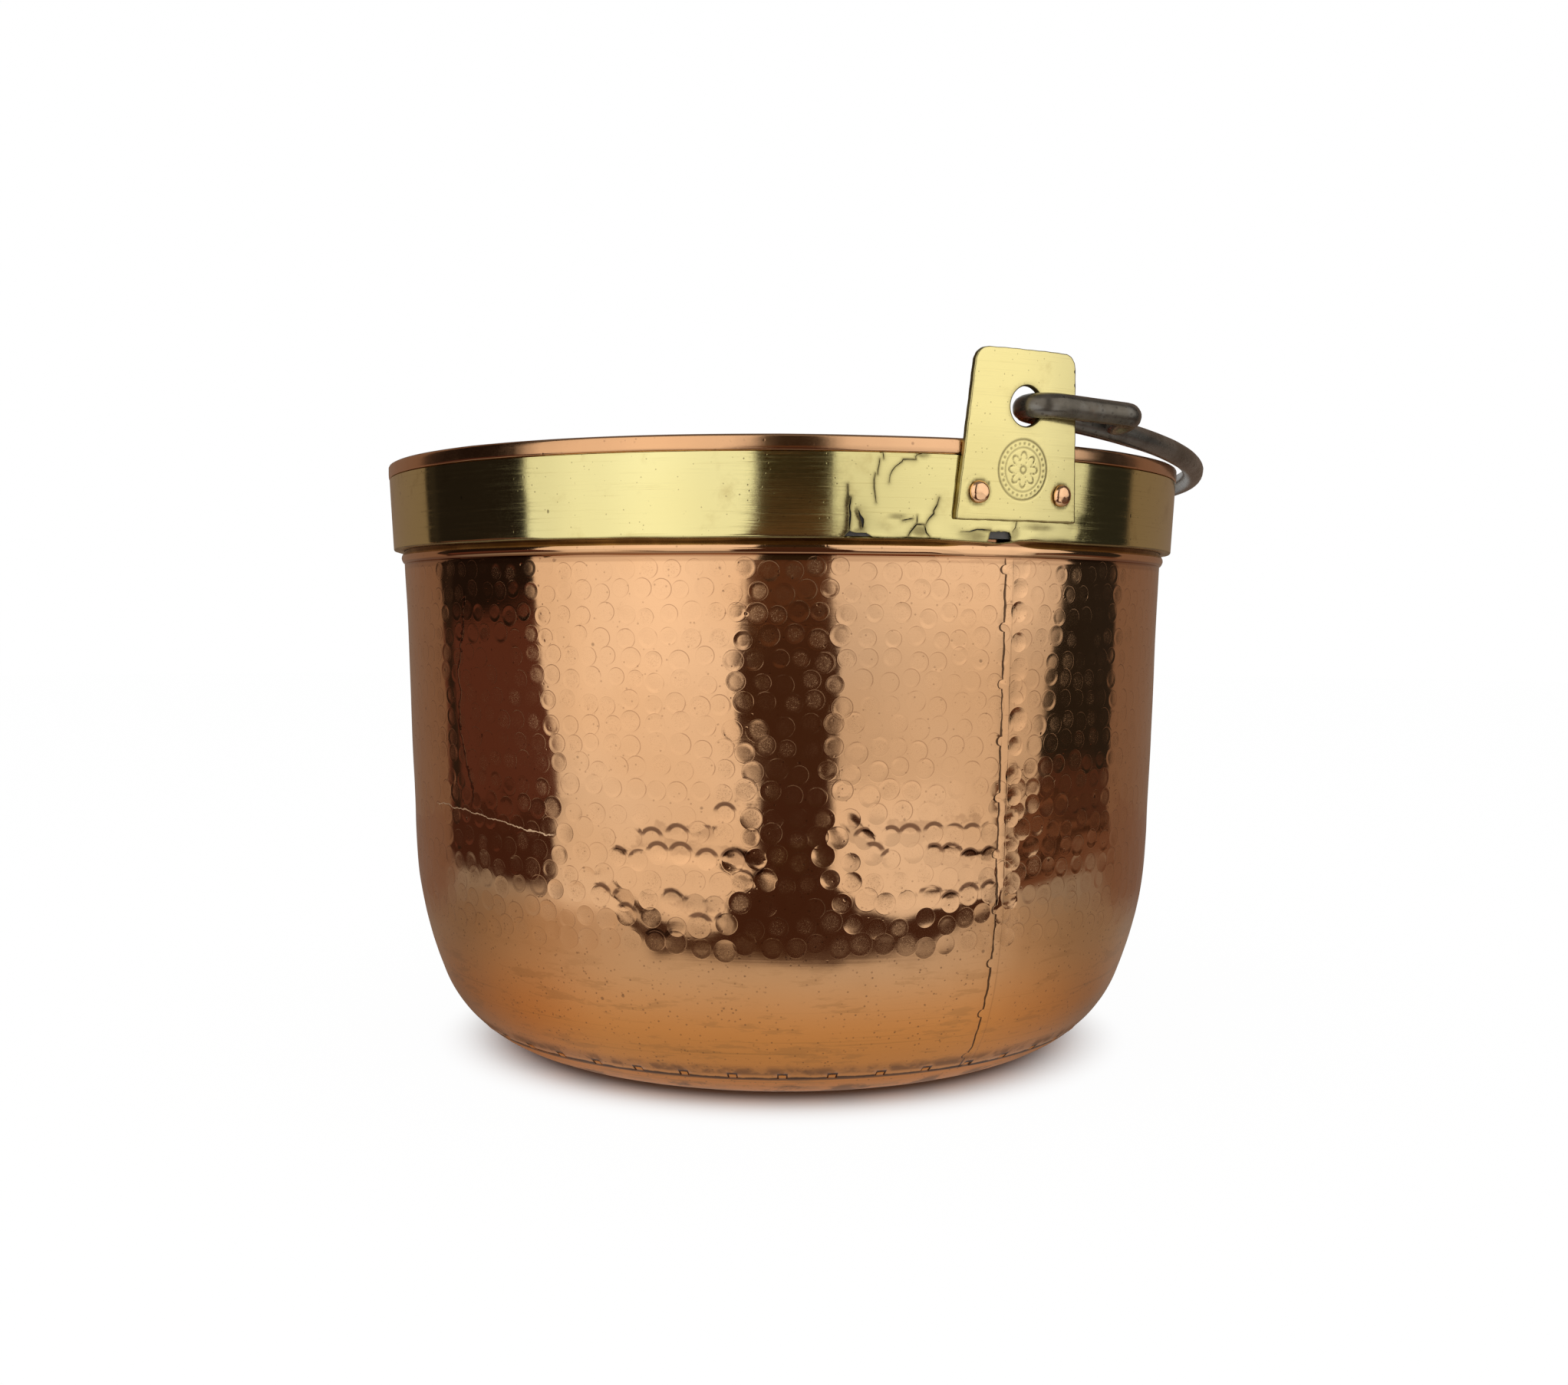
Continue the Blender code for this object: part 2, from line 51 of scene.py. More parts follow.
# Sizes as in the CAD part, in metres
COPPER = 0.0015
BRASS_SHEET = 0.0008
HOOP_BAR = 0.0040
EAR_PLATE = 0.0025
GAP = 0.0003
MOUTH_RADIUS = 0.2100
RIM_HEIGHT = 0.3030
BASE_FLAT_RADIUS = 0.1245
HEEL_RADIUS = 0.0625
HEEL_TURN = math.radians(69)
BELLY_RADIUS = 0.210
LIP_EDGE = 0.2960
LIP_PROUD = 0.0005
BAND_HEIGHT = 0.0370
BAND_FLARE = 0.056
BAND_BOTTOM = LIP_EDGE - BAND_HEIGHT
BEAD_HEIGHT = 0.0065
BEAD_PROUD = 0.0016
BEAD_TOP = BAND_BOTTOM - 0.0005
NECK_HEIGHT = BEAD_TOP - BEAD_HEIGHT
SEAM_HEIGHT = 0.0150
TOOTH_COUNT = 46
TOOTH_PITCH = TAU / TOOTH_COUNT
FRONT = math.radians(-90)


def direction(turn):
    return math.sin(turn), -math.cos(turn)


def along(point, way, distance):
    return point[0] + way[0] * distance, point[1] + way[1] * distance


HEEL_CENTRE = (BASE_FLAT_RADIUS, HEEL_RADIUS)
BELLY_CENTRE = along(HEEL_CENTRE, direction(HEEL_TURN), HEEL_RADIUS - BELLY_RADIUS)


def brass_radius(height):
    """Outer face of the flared brass band."""
    return MOUTH_RADIUS - LIP_PROUD - BAND_FLARE * (LIP_EDGE - height)


def wall_radius(height):
    """Outer face of the copper wall behind the hoop."""
    return brass_radius(height) - BRASS_SHEET - HOOP_BAR - 2 * GAP


NECK = (wall_radius(BAND_BOTTOM), NECK_HEIGHT)


def side_turn():
    """Where the belly's arc runs into the straight side."""
    run, rise = NECK[0] - BELLY_CENTRE[0], NECK[1] - BELLY_CENTRE[1]
    return math.pi / 2 + math.atan2(rise, run) - math.acos(BELLY_RADIUS / math.hypot(run, rise))


SIDE_TURN = side_turn()
SEAM_TURN = math.acos(1 - SEAM_HEIGHT / HEEL_RADIUS)
SIDE_END = along(BELLY_CENTRE, direction(SIDE_TURN), BELLY_RADIUS)
SIDE_LENGTH = math.hypot(NECK[0] - SIDE_END[0], NECK[1] - SIDE_END[1])
BELLY_LENGTH = BELLY_RADIUS * (SIDE_TURN - HEEL_TURN)
SEAM_RUN = SIDE_LENGTH + BELLY_LENGTH + HEEL_RADIUS * (HEEL_TURN - SEAM_TURN)


def skin(run):
    """Radius, height and outward normal of the vessel's outer face this far down from the neck."""
    run = np.asarray(run, dtype=float)
    past_side = run - SIDE_LENGTH
    past_belly = past_side - BELLY_LENGTH
    in_heel = past_belly > 0
    turn = np.where(past_side < 0, SIDE_TURN, SIDE_TURN - past_side / BELLY_RADIUS)
    turn = np.where(in_heel, HEEL_TURN - past_belly / HEEL_RADIUS, turn)
    out, up = np.sin(turn), -np.cos(turn)
    radius = np.where(in_heel, HEEL_CENTRE[0] + HEEL_RADIUS * out, BELLY_CENTRE[0] + BELLY_RADIUS * out)
    height = np.where(in_heel, HEEL_CENTRE[1] + HEEL_RADIUS * up, BELLY_CENTRE[1] + BELLY_RADIUS * up)
    radius = np.where(past_side < 0, NECK[0] - run * math.cos(SIDE_TURN), radius)
    height = np.where(past_side < 0, NECK[1] - run * math.sin(SIDE_TURN), height)
    return radius, height, out, up


def radius_at(run):
    return float(skin(run)[0])


def smooth(value, low=0.0, high=1.0):
    share = np.clip((np.asarray(value, dtype=float) - low) / (high - low), 0, 1)
    return share * share * (3 - 2 * share)


def hump(value, low, low_full, high_full, high):
    """1 from low_full to high_full, easing to 0 at low and at high."""
    return smooth(value, low, low_full) * (1 - smooth(value, high_full, high))


def bell(value, middle, half, power=2):
    return np.exp(-((value - middle) / half) ** power)


def ripple(angle, run, cell, seed):
    """Smooth noise from -1 to 1 that closes on itself round the vessel; its blobs are about a cell across."""
    count = max(3, round(TAU * 0.2 / cell))
    grid = np.random.default_rng(seed).uniform(-1, 1, (count, int(0.6 / cell) + 6))
    x, y = np.broadcast_arrays(angle / TAU * count, run / cell + 0.15 / cell + 2)
    i, j = np.floor(x).astype(int), np.floor(y).astype(int)
    x, y = smooth(x - i), smooth(y - j)
    rows = [(grid[i % count, j + k], grid[(i + 1) % count, j + k]) for k in (0, 1)]
    low, high = [a * (1 - x) + b * x for a, b in rows]
    return low * (1 - y) + high * y


def wrapped(angle):
    return (angle + math.pi) % TAU - math.pi


# Brazed seam down the wall below the front ear

SEAM_TOP = math.radians(-0.2)
SEAM_FOOT = math.radians(0.5)
SEAM_TAB_PITCH = 25.5 * MM
SEAM_TAB_HALF = 2.1 * MM
SEAM_TAB_OUT = -2.3 * MM
SEAM_STRIP = 4.3 * MM


def seam_angle(run):
    share = np.clip(np.asarray(run) / 0.2, -0.2, 1.3)
    return FRONT + SEAM_TOP + (SEAM_FOOT - SEAM_TOP) * smooth(share, 0.6, 1.2)


def seam_tab(run):
    """How far a tab stands out to the left of the seam's line, 0 to 1."""
    phase = (run + SEAM_TAB_PITCH * 0.3) % SEAM_TAB_PITCH - SEAM_TAB_PITCH / 2
    return np.sqrt(np.clip(1 - (phase / SEAM_TAB_HALF) ** 2, 0, 1))


# Hammer blows on the copper: places in rows round the wall, each a shallow round hollow

BLOW_PITCH = 9.7 * MM
BLOW_FIRST = 6 * MM
BLOW_ROWS = 18
# Ranges that the blows are drawn from, in mm: those in rows, and those beside the seam
BLOW_RADII, BLOW_DEPTHS, BLOW_SPACING = (3.9, 4.8), (0.035, 0.075), (8.4, 12.4)
SEAM_BLOW_RADII, SEAM_BLOW_DEPTHS, SEAM_BLOW_SPACING = (4.3, 5.8), (0.15, 0.44), (8.0, 14.0)
SEAM_BLOWS_START, SEAM_BLOWS_END = 4 * MM, 178 * MM


def make_blows():
    """Arrays of every blow's angle, run, radius and depth, deeper low down and beside the seam."""
    draw = np.random.default_rng(42)
    blows = []
    for row in range(BLOW_ROWS):
        run = BLOW_FIRST + BLOW_PITCH * row
        low = row / (BLOW_ROWS - 1)
        circle = TAU * radius_at(run)
        place = 0.0
        while place < circle - 7 * MM:
            size = draw.uniform(*BLOW_RADII) * MM * (1 + 0.14 * low)
            angle = TAU * place / circle + 0.37 * row
            aside = math.degrees(wrapped(angle - FRONT))
            near = 0.35 + 0.65 * float(hump(aside, -64, -54, 2, 10))
            depth = draw.uniform(*BLOW_DEPTHS) * MM * (1 + 1.3 * near * float(smooth(run, 0.098, 0.122)))
            shift = draw.uniform(-1.6, 1.6) * MM * (1 + 0.5 * low)
            blows.append((angle, run + shift, size, depth))
            place += draw.uniform(*BLOW_SPACING) * MM
    run = SEAM_BLOWS_START
    while run < SEAM_BLOWS_END:
        size = draw.uniform(*SEAM_BLOW_RADII) * MM
        angle = float(seam_angle(run)) + (SEAM_STRIP + size * draw.uniform(0.72, 1.08)) / radius_at(run)
        blows.append((angle, run, size, draw.uniform(*SEAM_BLOW_DEPTHS) * MM))
        run += draw.uniform(*SEAM_BLOW_SPACING) * MM
    return np.array(blows)


BLOWS = make_blows()

# What every mesh is made with

def ring(radius, height, angles):
    """Points about the vessel's axis."""
    height = np.broadcast_to(height, angles.shape)
    return np.stack([radius * np.cos(angles), radius * np.sin(angles), height], axis=-1)


def ring_faces(rows, count, start=0, flip=False):
    """Quads between rings of points that follow one another."""
    faces = []
    for i in range(start, start + (rows - 1) * count, count):
        for j in range(count):
            k = (j + 1) % count
            a, b, c, d = i + j, i + count + j, i + count + k, i + k
            faces.append((a, d, c, b) if flip else (a, b, c, d))
    return faces


def tube_faces(rows, count):
    """Quads between rings, and a face across either end."""
    last = (rows - 1) * count
    return ring_faces(rows, count, flip=True) + [tuple(range(count))[::-1], tuple(range(last, last + count))]


def object_from(name, verts, faces):
    mesh = bpy.data.meshes.new(name)
    mesh.from_pydata([tuple(v) for v in verts], [], faces)
    obj = bpy.data.objects.new(name, mesh)
    bpy.context.scene.collection.objects.link(obj)
    return obj


def corner_attribute(mesh, name, values):
    layer = mesh.attributes.new(name, "FLOAT_VECTOR", "CORNER")
    layer.data.foreach_set("vector", np.asarray(values, dtype=np.float32).ravel())


def point_attribute(mesh, name, values):
    layer = mesh.attributes.new(name, "FLOAT", "POINT")
    layer.data.foreach_set("value", values.astype(np.float32))


def shade(obj, angle):
    obj.data.shade_smooth()
    obj.data.set_sharp_from_angle(angle=math.radians(angle))


def dress(obj, body, nodes, material):
    obj.data.materials.append(material)
    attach(obj, body)
    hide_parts(*nodes)


WALL_COLUMNS = 12 * TOOTH_COUNT
TOOTH_STATIONS = (-2.35, -2.0, 0.0, 2.0, 2.35)
SEAM_ROWS = (0.0, 1.2, 2.4, 3.5, 3.85)


def wall_columns():
    """Angles of the columns: even above, gathered to the teeth's edges near the bottom seam."""
    even = TAU * np.arange(WALL_COLUMNS) / WALL_COLUMNS
    radius = radius_at(SEAM_RUN)
    width = TOOTH_PITCH * radius
    inner = [value * MM for value in TOOTH_STATIONS]
    rest = np.linspace(inner[-1], width + inner[0], 9)[1:-1]
    stations = np.array(inner[2:] + list(rest) + [width + inner[0], width + inner[1]])
    gathered = []
    for tooth in range(TOOTH_COUNT):
        gathered += list(tooth * TOOTH_PITCH + stations / radius)
    shift = 0.75 * TOOTH_PITCH
    return even + shift, np.array(gathered) + shift


def cells_near(angles, runs, angle, run, reach, spread):
    """The grid's points near a place, and how far round from it each is."""
    rows = np.nonzero(np.abs(runs[:, 0] - run) < reach)[0]
    count = angles.shape[1]
    middle = int(round(((angle - angles[0, 0]) % TAU) / TAU * count))
    cells = np.ix_(rows, (middle + np.arange(-spread, spread + 1)) % count)
    return cells, wrapped(angles[cells] - angle) * radius_at(run)


def band_of_blows(angles, runs):
    """For each face, the two blows that matter most there, as (index, index)."""
    best = np.full((*angles.shape, 2), 9.0)
    owner = np.full((*angles.shape, 2), -1)
    spread = 9 if angles.shape[1] == WALL_COLUMNS else 7
    for index, (angle, run, size, _) in enumerate(BLOWS):
        cells, across = cells_near(angles, runs, angle, run, 2.2 * size + 2 * MM, spread)
        reach = np.hypot(across, runs[cells] - run) / size
        first, second = best[..., 0][cells], best[..., 1][cells]
        one, two = owner[..., 0][cells], owner[..., 1][cells]
        closer = reach < first
        between = ~closer & (reach < second)
        second = np.where(closer, first, np.where(between, reach, second))
        two = np.where(closer, one, np.where(between, index, two))
        first = np.where(closer, reach, first)
        one = np.where(closer, index, one)
        best[..., 0][cells], best[..., 1][cells] = first, second
        owner[..., 0][cells], owner[..., 1][cells] = one, two
    owner[best > 2.2] = -1
    return owner


def blow_corners(angles, runs, owner, strength):
    """Per corner, its place within the blow that owns the face, in blow radii, and how deep that blow is."""
    angle, run, size, depth = np.moveaxis(BLOWS[owner], -1, 0)[..., None]
    across = wrapped(angles - angle) * skin(run)[0] / size
    depth = np.broadcast_to(depth / MM * strength, across.shape)
    values = np.stack([across, (runs - run) / size, depth], axis=-1)
    values[owner < 0] = (9, 9, 0)
    return values


def blow_relief(angles, runs, share):
    """How far each vertex is sunk by the blows."""
    relief = np.zeros(angles.shape)
    for angle, run, size, depth in BLOWS:
        cells, across = cells_near(angles, runs, angle, run, size, 7)
        reach = (across ** 2 + (runs[cells] - run) ** 2) / size ** 2
        bowl = float(smooth(depth, 0.08 * MM, 0.16 * MM))
        relief[cells] = np.minimum(relief[cells], -depth * share * bowl * np.clip(1 - reach, 0, 1))
    return relief


# Millimetres per degree round the wall, where the dents are
DENT_DEGREE = math.radians(1) * 200
# Long dents in the wall: depth and half width in mm, and their run
# as degrees right of the front ear and height in mm
CREASES = (
    (0.80, 4.8, ((-50.4, 120.0), (-46.4, 125.0), (-43.3, 122.7), (-38.3, 121.6), (-33.2, 116.7))),
    (0.55, 3.4, ((-45.1, 131.3), (-42.8, 130.2), (-38.3, 128.0))),
    (0.42, 3.8, ((-54.1, 105.7), (-51.9, 99.3), (-48.2, 89.7), (-45.6, 85.0))),
    (0.55, 3.4, ((-15.3, 133.2), (-11.7, 133.1), (-6.3, 135.4), (-2.8, 134.9))),
    (0.50, 3.4, ((-20.8, 136.3), (-18.8, 129.4), (-16.8, 122.5))),
    (0.50, 3.6, ((-9.3, 122.6), (-5.0, 119.0), (-1.4, 116.6))),
    (0.30, 3.0, ((-44.0, 101.5), (-41.0, 97.0), (-38.0, 94.0))),
    (0.30, 3.0, ((-11.0, 101.5), (-6.0, 103.5), (-1.5, 106.0))),
    (0.28, 3.0, ((-38.0, 139.5), (-36.0, 143.0), (-34.0, 147.0))),
)


def crease_relief(angles, runs):
    """How far each vertex is pushed in by the long dents, and how much painted dark reflection their upper
    side takes.
    """
    relief, dark = np.zeros(angles.shape), np.zeros(angles.shape)
    heights = skin(runs)[1] / MM
    degrees = np.degrees(wrapped(angles - FRONT))
    near = (heights > 70) & (heights < 150) & (degrees > -62) & (degrees < 62)
    places = np.stack([degrees[near] * DENT_DEGREE, heights[near]], axis=-1)
    stray = 2.4 * ripple(angles[near], runs[near], 9 * MM, 11)
    uneven = 0.75 + 0.35 * ripple(angles[near], runs[near], 12 * MM, 12)
    for depth, half, line in CREASES:
        flat = [(a * DENT_DEGREE, h) for a, h in line]
        relief[near] -= depth * MM * uneven * bell(line_distance(places, flat) + stray, 0, half)
        above = [(x, h + 0.5 * half) for x, h in flat]
        dark[near] = np.maximum(dark[near], depth * bell(line_distance(places, above) + stray, 0, 2.6))
    return relief, dark


# The lip's section, from its inner corner over the top, round the fold and back down behind the hoop:
# radius and height in metres, and the share of the rim's unevenness that reaches it
LIP = (
    (0.20335, 0.3026, 0.6), (0.2045, 0.30295, 1), (0.2066, 0.30300, 1), (0.2086, 0.30285, 1),
    (0.2096, 0.30235, 1), (0.20999, 0.3016, 1), (0.21000, 0.3002, 1), (0.21000, 0.2985, 1),
    (0.20992, 0.2969, 1), (0.20975, 0.2962, 1), (0.20935, 0.29595, 1), (0.2088, 0.2961, 1),
    (0.20855, 0.2966, 1), (0.2085, 0.2990, 0.6), (0.2082, 0.3011, 0.3), (0.2047, 0.3014, 0),
)
BEAD_SHARES = (0.04, 0.14, 0.27, 0.4, 0.53, 0.66, 0.79, 0.9)
INNER_BEAD_SHARES = (0.9, 0.7, 0.5, 0.3, 0.1)
INNER_RIM_HEIGHTS = (0.2595, 0.270, 0.280, 0.290, 0.298, 0.3012)
SEAM_MIDDLE = FRONT + (SEAM_TOP + SEAM_FOOT) / 2


def wall_grid():
    """The wall's angles by row and column, the rows' runs, the rim's angles and the seam's column."""
    even, gathered = wall_columns()
    fall = np.arange(0, SEAM_RUN - 5.2 * MM, 2.2 * MM)
    runs = np.concatenate([fall, SEAM_RUN - np.array(SEAM_ROWS[::-1]) * MM])
    share = smooth(runs, SEAM_RUN - 32 * MM, SEAM_RUN - 6 * MM)[:, None]
    off_seam = wrapped(even - SEAM_MIDDLE)
    pull = 1 - smooth(np.abs(off_seam), math.radians(3), math.radians(28))
    nearest = int(np.argmin(np.abs(off_seam)))
    fit = (seam_angle(runs) - SEAM_MIDDLE - off_seam[nearest])[:, None] * pull * (1 - share)
    angles = even * (1 - share) + gathered * share + fit
    radius = skin(runs)[0]
    tab = seam_tab(runs) * SEAM_TAB_OUT
    for side in (-1, 1):
        column = (nearest + side) % WALL_COLUMNS
        angles[:, column] -= side * (TAU / WALL_COLUMNS - 0.6 * MM / radius) * (1 - share[:, 0])
    for column in (nearest - 1, nearest, nearest + 1):
        angles[:, column % WALL_COLUMNS] += tab / radius * (1 - share[:, 0])
    return angles, runs, even + fit[0], nearest


def wall_relief(angles, runs, nearest):
    """How far each point of the outer face stands out, and how much painted dark reflection its dent takes.
    """
    relief = blow_relief(angles, runs, 0.25)
    rolling = hump(runs, 0.095, 0.125, 0.165, 0.180)
    for depth, cell, seed in ((0.34, 62, 1), (0.17, 30, 2), (0.03 + 0.13 * rolling, 13, 6)):
        relief = relief + depth * MM * ripple(angles, runs, cell * MM, seed)
    dent, crease_shade = crease_relief(angles, runs)
    relief = relief + dent
    lines = ripple(np.zeros_like(angles), runs, 5 * MM, 3)
    spun = smooth(runs, 0.170, 0.182)
    relief = relief + spun * (0.035 * MM * lines + 0.05 * MM * ripple(angles, runs, 12 * MM, 4))
    beside = wrapped(angles - seam_angle(runs)) * skin(runs)[0]
    strip = hump(beside, 0, 0.5 * MM, 3.6 * MM, 4.8 * MM)
    rough = hump(beside, 4 * MM, 6 * MM, 16 * MM, 24 * MM)
    relief = relief + 0.10 * MM * strip + 0.22 * MM * rough * ripple(angles, runs, 15 * MM, 5)
    relief[:, nearest] -= 0.10 * MM

    # Notches for the pan's teeth
    half = (TOOTH_STATIONS[-1] + TOOTH_STATIONS[-2]) / 2 * MM
    off_tooth = wrapped((angles - 0.75 * TOOTH_PITCH) * TOOTH_COUNT) / TOOTH_COUNT * skin(runs)[0]
    relief[(np.abs(off_tooth) < half) & (runs > SEAM_RUN - 3.7 * MM)] -= 0.5 * MM
    relief[runs > SEAM_RUN - 4 * MM] -= 0.05 * MM
    return relief, crease_shade


def wall_rim(first):
    """Rings of the lip, of the wall behind the hoop and of the bead, flattened at the seam."""
    still = np.zeros_like(first)
    sag = 0.25 * MM * ripple(first, still, 90 * MM, 7)
    wave = 0.2 * MM * ripple(first, still, 55 * MM, 8)
    rings = [ring(r - loose * np.abs(sag) * 0.6, z - loose * np.abs(wave), first) for r, z, loose in LIP]
    rings += [ring(wall_radius(z), z, first) for z in (0.290, 0.2595)]
    ear = wrapped(first - FRONT)
    flattened = hump(ear, *np.radians((-12, -6, 1, 5)))
    for share in BEAD_SHARES:
        bulge = BEAD_PROUD * math.sin(math.pi * share) * (1 - 0.85 * flattened)
        bulge = bulge + 0.08 * MM * ripple(first, np.full_like(first, share * 0.02), 18 * MM, 9)
        rings.append(ring(NECK[0] + bulge, BEAD_TOP - BEAD_HEIGHT * share + 0.3 * wave, first))
    return rings + [ring(NECK[0] - 0.35 * MM, NECK_HEIGHT + 0.35 * MM, first)]


def wall_inside(angles, runs):
    """Rings of the inner face, from the foot up to the lip's inner corner."""
    radius, height, out, up = skin(runs[:, 0])
    relief = 0.34 * MM * ripple(angles, runs, 62 * MM, 1) + crease_relief(angles, runs)[0]
    first, rings = angles[0], []
    for i in range(len(runs)):
        thick = COPPER - relief[i]
        rings.append(ring(radius[i] - thick * out[i], height[i] - thick * up[i], first))
    for share in INNER_BEAD_SHARES:
        bulge = BEAD_PROUD * math.sin(math.pi * share)
        rings.append(ring(NECK[0] - COPPER + bulge, BEAD_TOP - BEAD_HEIGHT * share, first))
    rings += [ring(wall_radius(z) - COPPER, z, first) for z in INNER_RIM_HEIGHTS]
    return rings + [ring(0.20295, 0.3021, first)]


def face_corners(values):
    """Values at the four corners of each face between rings, in the faces' own order."""
    ahead = np.roll(values, -1, axis=1)
    return np.stack([values[:-1], values[1:], ahead[1:], ahead[:-1]], axis=-1)


def grid_corners(angles, runs):
    """Angles and runs at the corners of a grid's faces; the last column's go on past a full turn."""
    corner_angles, corner_runs = face_corners(angles), face_corners(runs)
    corner_angles[:, -1, 2:] += TAU
    return corner_angles, corner_runs


def make_wall():
    """The hammered wall with its folded lip, bead and notched foot, as one closed sheet."""
    angles, runs, first, nearest = wall_grid()
    grid_runs = np.broadcast_to(runs[:, None], angles.shape)
    relief, crease_shade = wall_relief(angles, grid_runs, nearest)
    outer = wall_rim(first)
    top_rows = len(outer)
    radius, height, out, up = skin(runs)
    for i in range(len(runs)):
        outer.append(ring(radius[i] + relief[i] * out[i], height[i] + relief[i] * up[i], angles[i]))
    # The foot turns in under the notched edge
    radius, height, out, up = skin(SEAM_RUN)
    outer.append(ring(radius - 1.2 * MM * out, height - 1.2 * MM * up, angles[-1]))

    # The inner face has half as many columns
    count, half = WALL_COLUMNS, WALL_COLUMNS // 2
    inner_runs = np.arange(SEAM_RUN - 1 * MM, 0, -4.4 * MM)
    inner_angles = np.broadcast_to(wall_columns()[0][::2], (len(inner_runs), half))
    inner_runs = np.broadcast_to(inner_runs[:, None], inner_angles.shape)
    inner = wall_inside(inner_angles, inner_runs)
    start = len(outer) * count
    faces = ring_faces(len(outer), count)
    outer_faces = len(faces)
    faces += ring_faces(len(inner), half, start)
    last_outer, last_inner = start - count, start + (len(inner) - 1) * half
    for j in range(half):
        k = (j + 1) % half
        a, b, c = 2 * j, 2 * j + 1, (2 * j + 2) % count
        faces.append((last_outer + a, start + j, start + k, last_outer + c, last_outer + b))
        faces.append((last_inner + j, a, b, c, last_inner + k))
    obj = object_from("hammered_wall", np.concatenate(outer + inner), faces)

    # Blow and seam places on the faces that carry them
    mesh = obj.data
    layers = {"blow_a": np.full((len(mesh.loops), 3), (9.0, 9.0, 0.0))}
    layers["blow_b"] = layers["blow_a"].copy()
    layers["seam"] = np.ones((len(mesh.loops), 3))
    for first_face, grid, strength in (
        (top_rows * count, (angles, grid_runs), 1), (outer_faces, (inner_angles, inner_runs), -0.5),
    ):
        corner_angles, corner_runs = grid_corners(*grid)
        owner = band_of_blows(corner_angles.mean(axis=-1), corner_runs.mean(axis=-1))
        begin, end = 4 * first_face, 4 * first_face + corner_runs.size
        for which, name in enumerate(("blow_a", "blow_b")):
            values = blow_corners(corner_angles, corner_runs, owner[..., which], strength)
            layers[name][begin:end] = values.reshape(-1, 3)
        if strength > 0:
            across = wrapped(corner_angles - seam_angle(corner_runs)) * skin(corner_runs)[0]
            near_seam = np.stack([across, corner_runs, np.ones_like(across)], axis=-1)
            near_seam[np.abs(across).min(axis=-1) > 0.03] = (1, 1, 0)
            layers["seam"][begin:end] = near_seam.reshape(-1, 3)
    for name, values in layers.items():
        corner_attribute(mesh, name, values)
    # Painted dark reflection along the dents' upper sides, carried on the points for the material
    dents = np.zeros(len(mesh.vertices))
    dents[top_rows * count:(top_rows + len(runs)) * count] = crease_shade.ravel()
    point_attribute(mesh, "dent", dents)
    shade(obj, 50)
    return obj


# Sheets with a front, a back and their own outlines

def plate(name, front, back, faces):
    """A closed sheet: its front, its back, and a wall wherever a face has no neighbour."""
    count = len(front)
    solid = list(faces) + [tuple(count + i for i in reversed(face)) for face in faces]
    lone = {}
    for face in faces:
        for a, b in zip(face, face[1:] + face[:1]):
            if (b, a) in lone:
                del lone[(b, a)]
            else:
                lone[(a, b)] = True
    solid += [(b, a, count + a, count + b) for a, b in lone]
    return object_from(name, np.concatenate([front, back]), solid)


def triangulate(points, edges, holes):
    """Points and triangles of a flat region in millimetres, its holes left out."""
    flat = [Vector(point) for point in points]
    holes = [hole if signed_area([points[i] for i in hole]) > 0 else hole[::-1] for hole in holes]
    out = delaunay_2d_cdt(flat, edges, holes, 0, 1e-4)
    verts, faces, inside = out[0], out[2], out[5]
    kept = [tuple(face) for face, holders in zip(faces, inside) if not holders]
    kept = [face if signed_area([verts[i] for i in face]) > 0 else face[::-1] for face in kept]
    used, faces = renumbered(kept)
    return np.array([verts[i] for i in used]), faces


def renumbered(faces):
    """The points that the faces use, and the faces by their places among these."""
    used = sorted({i for face in faces for i in face})
    place = {old: new for new, old in enumerate(used)}
    return used, [tuple(place[i] for i in face) for face in faces]


def signed_area(corners):
    return sum(a[0] * b[1] - b[0] * a[1] for a, b in zip(corners, corners[1:] + corners[:1])) / 2


def line_distance(points, line):
    """Distance from each point to a polyline."""
    best = np.full(len(points), 1e9)
    for a, b in zip(line[:-1], line[1:]):
        a, b = np.array(a, dtype=float), np.array(b, dtype=float)
        way = b - a
        share = np.clip(((points - a) @ way) / max(way @ way, 1e-12), 0, 1)
        best = np.minimum(best, np.linalg.norm(points - a - share[:, None] * way, axis=1))
    return best


def ribbon(line, width, draw):
    """Quads along a polyline that narrow to its ends, with uneven edges, as (points, quads)."""
    line = [np.array(p, dtype=float) for p in line]
    fine = []
    for a, b in zip(line[:-1], line[1:]):
        count = max(1, int(np.linalg.norm(b - a) / 1.1))
        fine += [a + (b - a) * i / count for i in range(count)]
    fine.append(line[-1])
    points, quads = [], []
    for i, p in enumerate(fine):
        way = fine[min(i + 1, len(fine) - 1)] - fine[max(i - 1, 0)]
        side = np.array([-way[1], way[0]]) / max(np.linalg.norm(way), 1e-9)
        share = i / max(len(fine) - 1, 1)
        half = width / 2 * (0.25 + 0.75 * min(1, 4 * min(share, 1 - share))) * draw.uniform(0.7, 1.3)
        shift = draw.uniform(-0.12, 0.12) * min(width, 0.8)
        points += [tuple(p + side * (shift + half)), tuple(p + side * (shift - half))]
        if i:
            j = 2 * i
            quads.append([j - 2, j - 1, j + 1, j])
    return points, quads


# Brass band. Places on it are degrees right of the front ear and millimetres above the band's lower edge

BAND_MEAN_RADIUS = 0.2085
BAND_DEGREE = math.radians(1) * BAND_MEAN_RADIUS / MM
WORN_LEFT, WORN_RIGHT = -24.0, 12.0

